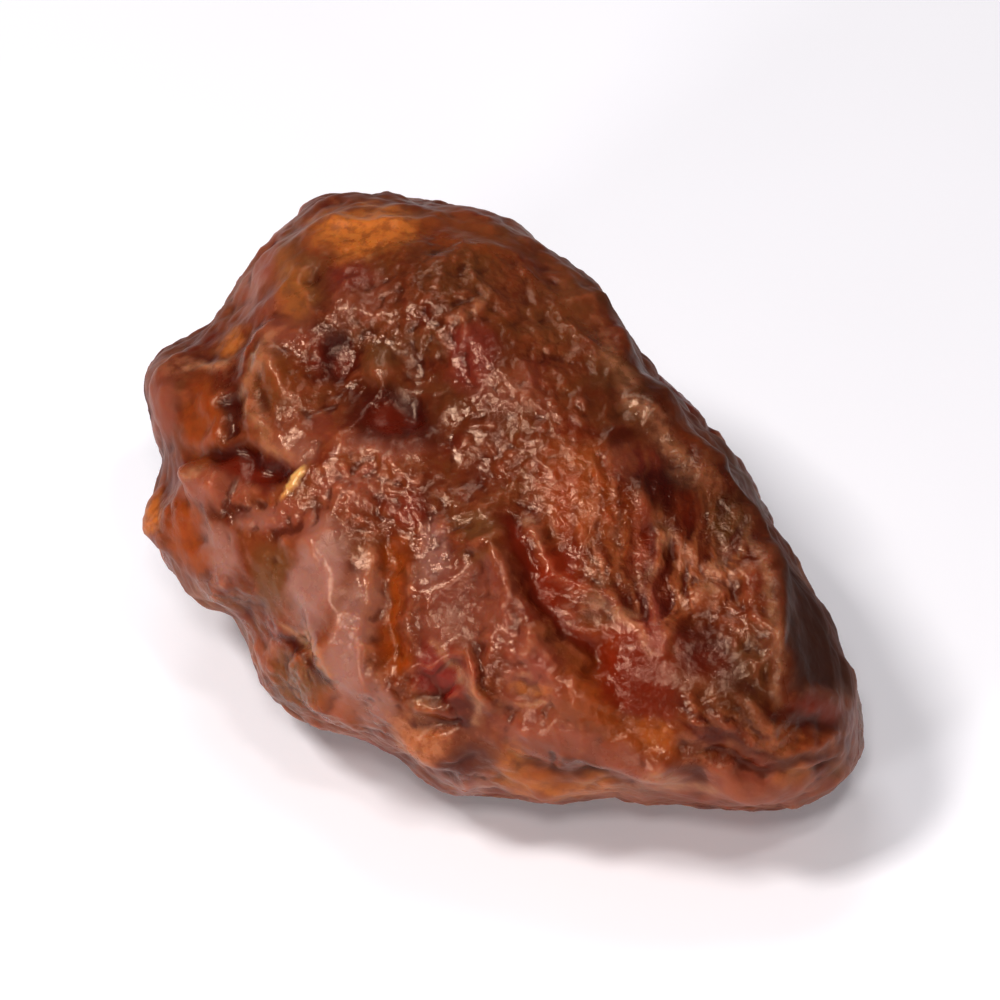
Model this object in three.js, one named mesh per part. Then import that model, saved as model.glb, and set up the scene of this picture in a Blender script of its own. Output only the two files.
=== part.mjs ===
// A prune: one whole dried plum, lying on its own small flat spot.
// Millimetres, +Z up. The origin is under the middle of the fruit, on the surface it rests on.
// The fat end, with the stem scar, is at the back and left (-X, +Y); the tip is at the front and right (+X, -Y).
import * as THREE from 'three';
import { mergeVertices } from 'three/addons/utils/BufferGeometryUtils.js';

// ---------------------------------------------------------------- driving dimensions
const MESH_DETAIL = 19;         // splits of each icosahedron edge, less one
const SEAM_TILT_DEG = 40;       // how far the fruit's upper face leans back from upright
const CENTRE_HEIGHT = 13.1;     // height of the middle of the outline over the surface
const FRONT_DEPTH = 8.6;        // how far the upper front face bulges from the seam surface
const BACK_DEPTH = 12.0;        // how far the rear and underside bulge from it
const FOOT_BLEND = 0.5;         // roundness of the edge of the flat spot
const FOOT_AT = [0.2, 2.4];     // middle of the settled underside, measured from under the middle of the outline
const FOOT_SAG = 0.9;           // how far the flesh has sagged there
const MIN_WIDTH = 1.05;         // narrowest crease that this mesh can carry: narrower ones are widened and made shallower
// The widest loop of the fruit, seen square on to its upper face: u is to the right, v is up the face.
const OUTLINE = [
  [-8.38, 14.08], [-10.23, 12.54], [-11.45, 10.70], [-12.99, 8.55], [-14.67, 7.32], [-16.05, 6.72], [-16.52, 5.49],
  [-16.21, 3.63], [-15.61, 2.11], [-15.74, 0.57], [-16.52, -0.66], [-15.9, -2.19], [-14.98, -3.73], [-13.91, -4.94],
  [-12.38, -5.10], [-11.60, -6.48], [-10.84, -8.63], [-9.30, -10.02], [-7.77, -10.63], [-6.23, -10.94], [-4.39, -11.86],
  [-2.85, -13.24], [-0.41, -13.4], [2.05, -13.85], [4.80, -13.55], [7.89, -14.0], [11.56, -14.16], [13.71, -14.0],
  [15.39, -13.09], [16.33, -11.7], [16.46, -9.55], [16.02, -7.71], [15.33, -5.76], [14.16, -3.81], [12.99, -2.05],
  [12.01, -0.29], [10.02, 2.71], [8.50, 4.57], [7.27, 5.49], [6.04, 7.64], [4.51, 9.94], [2.66, 11.15], [1.13, 12.54],
  [-0.41, 13.61], [-1.64, 13.93], [-4.08, 14.08], [-6.23, 14.24],
];
// The seam surface's depth over (u, v): a plane and a slight dish.
const SEAM = [-3.47427, 0.11922, -0.27359, -0.00263, 0.00089, -0.00335];
// Folds and creases of the upper face: [width, height (a groove is negative), [u, v] points along it].
const STROKES = [
  // broad relief; two points make a lump or a dent
  [3.2, -0.9, [[7.4, 0.4], [8.6, -3.0], [8.4, -6.2]]],
  [2.6, -0.7, [[-6.9, 5.6], [-4.4, 4.4]]],
  [2.4, 0.5, [[-9.9, 10.6], [-8.6, 8.6]]],
  [2.2, -0.5, [[0.4, 9.2], [2.6, 7.0]]],
  [2.2, 0.55, [[-2.6, 10.2], [-1.4, 8.2]]],
  [2.4, -0.6, [[-9.6, -3.6], [-9.9, -6.0]]],
  [2.6, 0.5, [[-1.2, -4.0], [0.2, -7.2]]],
  // rim down the right side, with thin crests
  [1.3, 0.9, [[-0.4, 13.3], [1.6, 11.6], [4.2, 9.0], [5.6, 6.3], [7.1, 4.0], [8.9, 1.8], [10.6, -0.4], [11.9, -2.9], [12.5, -5.9], [12.4, -8.6], [11.6, -10.9]]],
  // long middle fold, its groove and the lip beside it
  [1.3, 0.95, [[-2.4, 0.2], [-1.0, -0.8], [0.0, -2.4], [1.0, -4.4], [2.1, -6.4], [3.3, -8.2], [4.6, -9.8], [6.4, -11.0]]],
  [0.55, -0.52, [[-0.2, -0.5], [0.5, -1.5], [1.2, -3.0], [1.9, -4.6], [2.8, -6.1], [4.2, -7.0], [4.8, -8.5], [5.6, -9.8]]],
  [1.5, -0.45, [[1.9, -3.6], [3.6, -6.0], [5.2, -8.4]]],
  // soft hollows in the upper left
  [1.3, -0.42, [[-6.0, 4.6], [-4.8, 4.0], [-3.6, 3.6]]],
  [0.9, -0.32, [[-7.9, 7.6], [-7.4, 6.6], [-7.1, 5.8]]],
  [0.8, 0.4, [[-5.6, 6.3], [-5.2, 5.7]]],
  // rounded lump with a groove and thin crests round it
  [1.5, 0.6, [[-10.3, 6.2], [-9.8, 5.2]]],
  // smooth band under the hollows
  [1.4, 0.42, [[-8.6, 2.4], [-6.2, 2.9], [-4.2, 2.3], [-2.2, 2.2]]],
  // lobes at the left edge
  [1.2, 0.75, [[-15.4, 5.4], [-15.3, 4.2]]],
  [0.8, -0.45, [[-14.2, 5.2], [-13.7, 3.6], [-14.0, 2.5]]],
  [0.6, -0.45, [[-12.6, 5.0], [-12.3, 3.8], [-12.2, 2.8]]],
  [0.9, 0.35, [[-13.6, 4.4], [-13.6, 3.2]]],
  [1.15, 1, [[-14.3, 0.7], [-13.2, 0.7], [-12.2, 0.5]]],
  [0.5, -0.6, [[-14.8, 2.3], [-13.0, 2.1], [-11.6, 1.9], [-10.6, 1.2], [-9.9, 0.4]]],
  [0.5, -0.26, [[-13.4, -0.4], [-12.0, -0.5], [-10.8, -0.1]]],
  [0.8, -0.45, [[-14.2, 0.2], [-14.2, -1.4], [-13.9, -2.9]]],
  [0.7, 0.45, [[-15.9, -0.4], [-15.6, -1.6]]],
  // broad smooth fold at the lower left and what lies round it
  [1.45, 0.9, [[-9.6, -0.9], [-8.6, -2.2], [-8.0, -3.8], [-7.5, -5.6], [-6.9, -7.6], [-6.2, -9.6]]],
  [0.6, 0.34, [[-9.3, -7.6], [-8.9, -8.2]]],
  [0.7, 0.35, [[-11.0, -7.2], [-10.6, -7.8]]],
  [0.7, 0.35, [[-8.0, -9.4], [-7.2, -9.8]]],
  // narrow groove inside it, between two thin crests
  [0.55, -0.52, [[-5.2, -1.6], [-4.9, -3.4], [-5.0, -5.4], [-4.9, -7.0], [-4.5, -8.2]]],
  // pocket with crests round its right and lower sides
  [1, -0.4, [[-3.1, -7.3], [-2.8, -8.3], [-2.3, -9.1]]],
  // pale band low on the front, with hollows above and below
  [1.2, 0.65, [[0.4, -10.2], [2.4, -10.5], [4.6, -11.2], [6.6, -12.0], [8.6, -12.8]]],
  [0.6, -0.3, [[0.3, -11.5], [1.6, -11.5], [2.8, -11.9]]],
  [0.8, 0.3, [[2.0, -13.1], [4.0, -13.1]]],
  [0.9, 0.5, [[-3.6, -10.9], [-3.0, -11.5]]],
  [0.7, 0.35, [[-1.8, -12.8], [-0.8, -12.7]]],
  // small lumps along the lower left outline
  [0.55, 0.6, [[-13.7, -4.6], [-13.1, -5.0]]],
  [0.6, 0.7, [[-11.7, -6.3], [-11.3, -7.2]]],
  [0.6, 0.7, [[-10.6, -8.6], [-10.2, -9.2]]],
  [0.5, 0.6, [[-8.9, -10.2], [-8.2, -10.5]]],
  [0.55, 0.6, [[-6.3, -11.0], [-5.6, -11.3]]],
  [0.5, 0.6, [[-4.6, -12.3], [-4.0, -12.6]]],
  [0.5, -0.45, [[-12.4, -5.6], [-12.0, -6.0]]],
  [0.6, 0.6, [[-16.2, -0.4], [-16.0, -1.2]]],
  // wrinkles over the tip
  [1.4, 0.5, [[9.0, -12.9], [12.0, -12.9], [14.6, -12.1]]],
  // crests and dents at the top
  [0.8, 0.35, [[-7.4, 12.6], [-5.0, 12.7]]],
  [0.8, -0.22, [[-3.4, 12.0], [-2.6, 11.4]]],
];
// Where the stem scar and the tip are, and the suture's way round the hidden side, as directions from the middle
// (right, up the face, out of the face).
const STEM_DIR = [-0.72, 0.45, -0.53];
const TIP_DIR = [0.80, -0.60, -0.05];
const SUTURE_DIRS = [STEM_DIR, [-0.55, 0.15, -0.82], [-0.2, -0.12, -0.97], [0.25, -0.3, -0.92], [0.6, -0.48, -0.64], TIP_DIR];

// ---------------------------------------------------------------- small vector helpers
const SE = Math.sin((SEAM_TILT_DEG * Math.PI) / 180);
const CE = Math.cos((SEAM_TILT_DEG * Math.PI) / 180);
const sub = (a, b) => [a[0] - b[0], a[1] - b[1], a[2] - b[2]];
const dot = (a, b) => a[0] * b[0] + a[1] * b[1] + a[2] * b[2];
const cross = (a, b) => [a[1] * b[2] - a[2] * b[1], a[2] * b[0] - a[0] * b[2], a[0] * b[1] - a[1] * b[0]];
const scale = (a, k) => [a[0] * k, a[1] * k, a[2] * k];
const addScaled = (a, b, k) => [a[0] + b[0] * k, a[1] + b[1] * k, a[2] + b[2] * k];
const unit = (a) => scale(a, 1 / Math.sqrt(dot(a, a)));
const smooth = (a, b, x) => {
  const t = Math.min(1, Math.max(0, (x - a) / (b - a)));
  return t * t * (3 - 2 * t);
};
const gauss = (x) => Math.exp(-x * x);

// ---------------------------------------------------------------- gradient noise, about -1 to 1
function hash(x, y, z, seed) {
  let h = Math.imul(x, 0x27d4eb2d) ^ Math.imul(y, 0x165667b1) ^ Math.imul(z, 0x9e3779b1) ^ Math.imul(seed, 0x85ebca6b);
  h = Math.imul(h ^ (h >>> 15), 0x2c1b3c6d);
  h = Math.imul(h ^ (h >>> 12), 0x297a2d39);
  return h ^ (h >>> 15);
}
function noise(x, y, z, seed) {
  const ix = Math.floor(x), iy = Math.floor(y), iz = Math.floor(z);
  const tx = x - ix, ty = y - iy, tz = z - iz;
  const fade = (t) => t * t * t * (t * (t * 6 - 15) + 10);
  const qx = fade(tx), qy = fade(ty), qz = fade(tz);
  let sum = 0;
  for (let dx = 0; dx < 2; dx++) {
    for (let dy = 0; dy < 2; dy++) {
      for (let dz = 0; dz < 2; dz++) {
        const h = hash(ix + dx, iy + dy, iz + dz, seed);
        const gx = (h & 1023) / 511.5 - 1, gy = ((h >>> 10) & 1023) / 511.5 - 1, gz = ((h >>> 20) & 1023) / 511.5 - 1;
        sum += (dx ? qx : 1 - qx) * (dy ? qy : 1 - qy) * (dz ? qz : 1 - qz)
          * (gx * (tx - dx) + gy * (ty - dy) + gz * (tz - dz));
      }
    }
  }
  return sum * 1.6;
}
const noiseAt = (p, size, seed) => noise(p[0] / size, p[1] / size, p[2] / size, seed);
const warp = (p, size, seed, amount) => [
  p[0] + amount * noiseAt(p, size, seed),
  p[1] + amount * noiseAt(p, size, seed + 1),
  p[2] + amount * noiseAt(p, size, seed + 2),
];

// ---------------------------------------------------------------- the outline as a smooth radius round its middle
const HARMONICS = 56;
const SOFT_HARMONICS = 5;
function rayRadius(th) {
  const c = Math.cos(th), s = Math.sin(th);
  let best = 0;
  for (let i = 0; i < OUTLINE.length; i++) {
    const a = OUTLINE[i], b = OUTLINE[(i + 1) % OUTLINE.length];
    const ex = b[0] - a[0], ey = b[1] - a[1];
    const den = c * ey - s * ex;
    if (Math.abs(den) < 1e-12) continue;
    const t = (a[0] * ey - a[1] * ex) / den;
    const k = (a[0] * s - a[1] * c) / den;
    if (t > 0 && k >= -1e-9 && k <= 1 + 1e-9) best = Math.max(best, t);
  }
  return best;
}
const SAMPLES = 720;
const COS_TERMS = new Array(HARMONICS + 1).fill(0);
const SIN_TERMS = new Array(HARMONICS + 1).fill(0);
for (let i = 0; i < SAMPLES; i++) {
  const th = (2 * Math.PI * i) / SAMPLES, r = rayRadius(th);
  for (let k = 0; k <= HARMONICS; k++) {
    const w = (2 / SAMPLES) * Math.exp(-((k / 46) ** 2)) * (k ? 1 : 0.5);
    COS_TERMS[k] += w * r * Math.cos(k * th);
    SIN_TERMS[k] += w * r * Math.sin(k * th);
  }
}
function outlineRadius(th, harmonics) {
  let r = 0;
  for (let k = 0; k <= harmonics; k++) r += COS_TERMS[k] * Math.cos(k * th) + SIN_TERMS[k] * Math.sin(k * th);
  return r;
}

// ---------------------------------------------------------------- the smooth body
// d is a direction from the middle: right, up the face, out of the face.
function bodyPoint(d) {
  const rho = Math.min(Math.hypot(d[0], d[1]), 1), th = Math.atan2(d[1], d[0]);
  const full = outlineRadius(th, HARMONICS), soft = outlineRadius(th, SOFT_HARMONICS);
  const r = soft * rho + (full - soft) * rho ** 6;
  const u = r * Math.cos(th), v = r * Math.sin(th);
  const front = FRONT_DEPTH + 0.02 * u - 0.02 * v;
  const back = BACK_DEPTH - 0.08 * u + 0.04 * v;
  const w = SEAM[0] + SEAM[1] * u + SEAM[2] * v + SEAM[3] * u * u + SEAM[4] * u * v + SEAM[5] * v * v
    + (d[2] > 0 ? front * (1.55 * d[2] - 0.55 * d[2] ** 3) : back * d[2]);
  return [u, v * SE - w * CE, v * CE + w * SE + CENTRE_HEIGHT];
}
function bodyNormal(d) {
  const a = unit(cross(d, Math.abs(d[2]) < 0.9 ? [0, 0, 1] : [1, 0, 0]));
  const b = cross(d, a);
  const e = 0.02;
  const at = (v, k) => bodyPoint(unit(addScaled(d, v, k)));
  const n = unit(cross(sub(at(a, e), at(a, -e)), sub(at(b, e), at(b, -e))));
  const out = [d[0], d[1] * SE - d[2] * CE, d[1] * CE + d[2] * SE];
  return dot(n, out) < 0 ? scale(n, -1) : n;
}
// The point of the upper face over (u, v).
function facePoint([u, v]) {
  const th = Math.atan2(v, u), r = Math.hypot(u, v);
  const full = outlineRadius(th, HARMONICS), soft = outlineRadius(th, SOFT_HARMONICS);
  let lo = 0, hi = 1;
  for (let i = 0; i < 40; i++) {
    const m = (lo + hi) / 2;
    if (soft * m + (full - soft) * m ** 6 < r) lo = m;
    else hi = m;
  }
  const rho = Math.min(lo, 0.999);
  return bodyPoint([rho * Math.cos(th), rho * Math.sin(th), Math.sqrt(1 - rho * rho)]);
}
// Distance from p to a line of points, and how far along the line that is, 0 to 1.
function alongLine(p, points) {
  let best = Infinity, share = 0, before = 0, total = 0;
  for (let i = 0; i + 1 < points.length; i++) total += Math.sqrt(dot(sub(points[i + 1], points[i]), sub(points[i + 1], points[i])));
  for (let i = 0; i + 1 < points.length; i++) {
    const ab = sub(points[i + 1], points[i]), len = Math.sqrt(dot(ab, ab));
    const t = Math.min(1, Math.max(0, dot(sub(p, points[i]), ab) / dot(ab, ab)));
    const q = sub(p, addScaled(points[i], ab, t)), dd = dot(q, q);
    if (dd < best) {
      best = dd;
      share = (before + t * len) / total;
    }
    before += len;
  }
  return [Math.sqrt(best), share];
}

// ---------------------------------------------------------------- folds, creases and marks
const FACE_STROKES = STROKES.map(([width, height, points]) => {
  const wide = Math.max(width, MIN_WIDTH);
  return { width: wide, height: (height * width) / wide, points: points.map(facePoint) };
});
function faceStrokes(point) {
  const p = warp(warp(point, 1.9, 41, 0.45), 0.8, 44, 0.16);
  let h = 0;
  for (const s of FACE_STROKES) {
    const [d, t] = alongLine(p, s.points);
    if (d > 3.2 * s.width) continue;
    let taper = 1;
    if (s.points.length > 2) {
      taper = Math.min(1, Math.min(t, 1 - t) / 0.22);
      taper = taper * taper * (3 - 2 * taper);
    }
    h += s.height * gauss(d / s.width) * taper;
  }
  return h * (0.95 + 0.5 * noiseAt(p, 2.3, 47));
}
const STEM = bodyPoint(unit(STEM_DIR));
const TIP = bodyPoint(unit(TIP_DIR));
const AXIS = unit(sub(TIP, STEM));
const AXIS_LENGTH = Math.sqrt(dot(sub(TIP, STEM), sub(TIP, STEM)));
const SIDE = unit(cross(AXIS, [0, 0, 1]));
const OVER = cross(AXIS, SIDE);
// Lengthwise creases from the stem end to the tip.
function lengthwiseFolds(p) {
  const q = sub(p, STEM), s = dot(q, AXIS) / AXIS_LENGTH, b = dot(q, SIDE) - 0.2, c = dot(q, OVER) - 0.4;
  const phi = Math.atan2(b, c) + 0.42 * noiseAt(p, 8.5, 31) + 0.16 * noiseAt(p, 3.4, 32);
  const reach = Math.min(1, Math.hypot(b, c) / 7);
  const ends = smooth(0.02, 0.22, s) * (1 - smooth(0.86, 1, s));
  const f = Math.abs(Math.sin(4 * phi)), g = Math.abs(Math.sin(9 * phi + 2 * noiseAt(p, 6, 33)));
  const amp = 0.75 + 0.45 * noiseAt(p, 9, 34);
  return ends * reach * amp * (1.15 * (f ** 0.75 - 0.68) + 0.4 * (g ** 0.8 - 0.66));
}
// Stem scar: a dimple in a slight ring, with short folds running out from it.
const SCAR_A = unit(cross(scale(AXIS, -1), [0, 0, 1]));
const SCAR_B = cross(scale(AXIS, -1), SCAR_A);
function stemScar(p) {
  const q = sub(p, STEM), r = Math.sqrt(dot(q, q));
  if (r > 11) return 0;
  const ang = Math.atan2(dot(q, SCAR_B), dot(q, SCAR_A));
  return -1.25 * gauss(r / 1.35) + 0.4 * gauss((r - 2.3) / 0.8)
    + 0.5 * Math.cos(7 * ang + 1.3 * noiseAt(p, 3, 35)) * gauss((r - 3.8) / 2.2);
}
const SUTURE = SUTURE_DIRS.map((d) => bodyPoint(unit(d)));
function suture(p) {
  const [d, t] = alongLine(p, SUTURE);
  return smooth(0.05, 0.18, t) * (1 - smooth(0.8, 0.97, t)) * (-0.75 * gauss(d / 0.9) + 0.3 * gauss((d - 2) / 1.1));
}
// The shrunken skin's surface, at a direction from the middle.
const OUT_OF_FACE = [0, -CE, SE];
function skinPoint(d) {
  const p = bodyPoint(d), n = bodyNormal(d);
  const facing = dot(n, OUT_OF_FACE);
  const face = smooth(-0.15, 0.35, facing);
  const q = warp(p, 5, 21, 1.2);
  const dents = 0.8 * noiseAt(q, 7.2, 1);
  const ridges = 1 - 2.2 * Math.abs(noiseAt(q, 3.6, 2));
  let h = faceStrokes(p) * face;
  h += dents * (1 - 0.6 * face) + 0.42 * ridges * (1 - 0.55 * face);
  h += (lengthwiseFolds(p) + suture(p)) * (1 - face) + stemScar(p);
  h *= 1 - 0.6 * gauss(facing / 0.2);
  // the underside has settled round the flat spot: its folds are pressed out there
  const fromFoot = Math.hypot(p[0] - FOOT_AT[0], p[1] - FOOT_AT[1]), low = 1 - smooth(3, 6, p[2]);
  h = h * (1 - 0.85 * low * gauss(fromFoot / 6.5)) + FOOT_SAG * low * gauss(fromFoot / 5);
  return addScaled(p, n, h);
}

// ---------------------------------------------------------------- the mesh
function makeFruit() {
  const ball = new THREE.IcosahedronGeometry(1, MESH_DETAIL);
  ball.deleteAttribute('normal');
  ball.deleteAttribute('uv');
  const geometry = mergeVertices(ball, 1e-5);
  const position = geometry.getAttribute('position');
  const points = [];
  for (let i = 0; i < position.count; i++) {
    points.push(skinPoint(unit([position.getX(i), position.getY(i), position.getZ(i)])));
  }
  // the flat spot: everything that would reach below the surface is pressed flat on it, with a rounded edge
  for (const p of points) {
    if (p[2] < -FOOT_BLEND) p[2] = 0;
    else if (p[2] < FOOT_BLEND) p[2] = (p[2] + FOOT_BLEND) ** 2 / (4 * FOOT_BLEND);
  }
  // the origin goes under the middle of the fruit
  const box = new THREE.Box3().setFromPoints(points.map((p) => new THREE.Vector3(...p)));
  const middle = box.getCenter(new THREE.Vector3());
  points.forEach((p, i) => position.setXYZ(i, p[0] - middle.x, p[1] - middle.y, p[2] - box.min.z));
  position.needsUpdate = true;
  // (right, up the face, out of the face) is a right-handed set, so the ball's faces still point out
  geometry.computeVertexNormals();
  return geometry;
}

const skin = new THREE.MeshStandardMaterial({ color: 0x743a26, roughness: 0.36, metalness: 0 });
const fruit = new THREE.Mesh(makeFruit(), skin);
fruit.name = 'prune';

const prune = new THREE.Group();
prune.name = 'prune_whole';
prune.add(fruit);

export default prune;
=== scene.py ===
import bpy, math
import numpy as np
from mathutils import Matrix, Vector


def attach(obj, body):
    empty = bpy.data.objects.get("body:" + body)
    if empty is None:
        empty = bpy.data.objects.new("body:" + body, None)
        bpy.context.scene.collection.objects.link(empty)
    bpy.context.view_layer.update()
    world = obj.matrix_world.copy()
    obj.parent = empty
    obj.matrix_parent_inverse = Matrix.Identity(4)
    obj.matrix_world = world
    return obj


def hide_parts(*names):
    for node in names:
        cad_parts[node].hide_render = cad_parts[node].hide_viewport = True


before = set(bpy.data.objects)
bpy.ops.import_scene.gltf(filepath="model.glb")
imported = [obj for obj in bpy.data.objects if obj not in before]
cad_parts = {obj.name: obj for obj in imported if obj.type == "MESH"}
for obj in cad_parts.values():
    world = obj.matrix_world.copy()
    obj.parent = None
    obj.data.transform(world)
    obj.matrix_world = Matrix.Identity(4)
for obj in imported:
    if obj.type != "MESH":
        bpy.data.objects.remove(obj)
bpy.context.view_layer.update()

# ------------------------------------------------------------------ the fruit's form, as in the solid model (millimetres)
MESH = 99                       # icosahedron edge splits: 196,020 triangles
TILT = math.radians(40.0)
SE, CE = math.sin(TILT), math.cos(TILT)
Z0, FRONT, BACK, FOOT = 13.1, 8.6, 12.0, 0.5
FOOT_AT, FOOT_SAG = (0.2, 2.4), 0.9
SHIFT = np.array([0.0637, 2.9740, 0.0])
OUTLINE = [(-8.38,14.08),(-10.23,12.54),(-11.45,10.70),(-12.99,8.55),(-14.67,7.32),(-16.05,6.72),(-16.52,5.49),(-16.21,3.63),
(-15.61,2.11),(-15.74,0.57),(-16.52,-0.66),(-15.9,-2.19),(-14.98,-3.73),(-13.91,-4.94),(-12.38,-5.10),(-11.60,-6.48),(-10.84,-8.63),
(-9.30,-10.02),(-7.77,-10.63),(-6.23,-10.94),(-4.39,-11.86),(-2.85,-13.24),(-0.41,-13.4),(2.05,-13.85),(4.80,-13.55),(7.89,-14.0),
(11.56,-14.16),(13.71,-14.0),(15.39,-13.09),(16.33,-11.7),(16.46,-9.55),(16.02,-7.71),(15.33,-5.76),(14.16,-3.81),(12.99,-2.05),
(12.01,-0.29),(10.02,2.71),(8.50,4.57),(7.27,5.49),(6.04,7.64),(4.51,9.94),(2.66,11.15),(1.13,12.54),(-0.41,13.61),(-1.64,13.93),
(-4.08,14.08),(-6.23,14.24)]
SEAM = [-3.47427, 0.11922, -0.27359, -0.00263, 0.00089, -0.00335]
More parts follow.
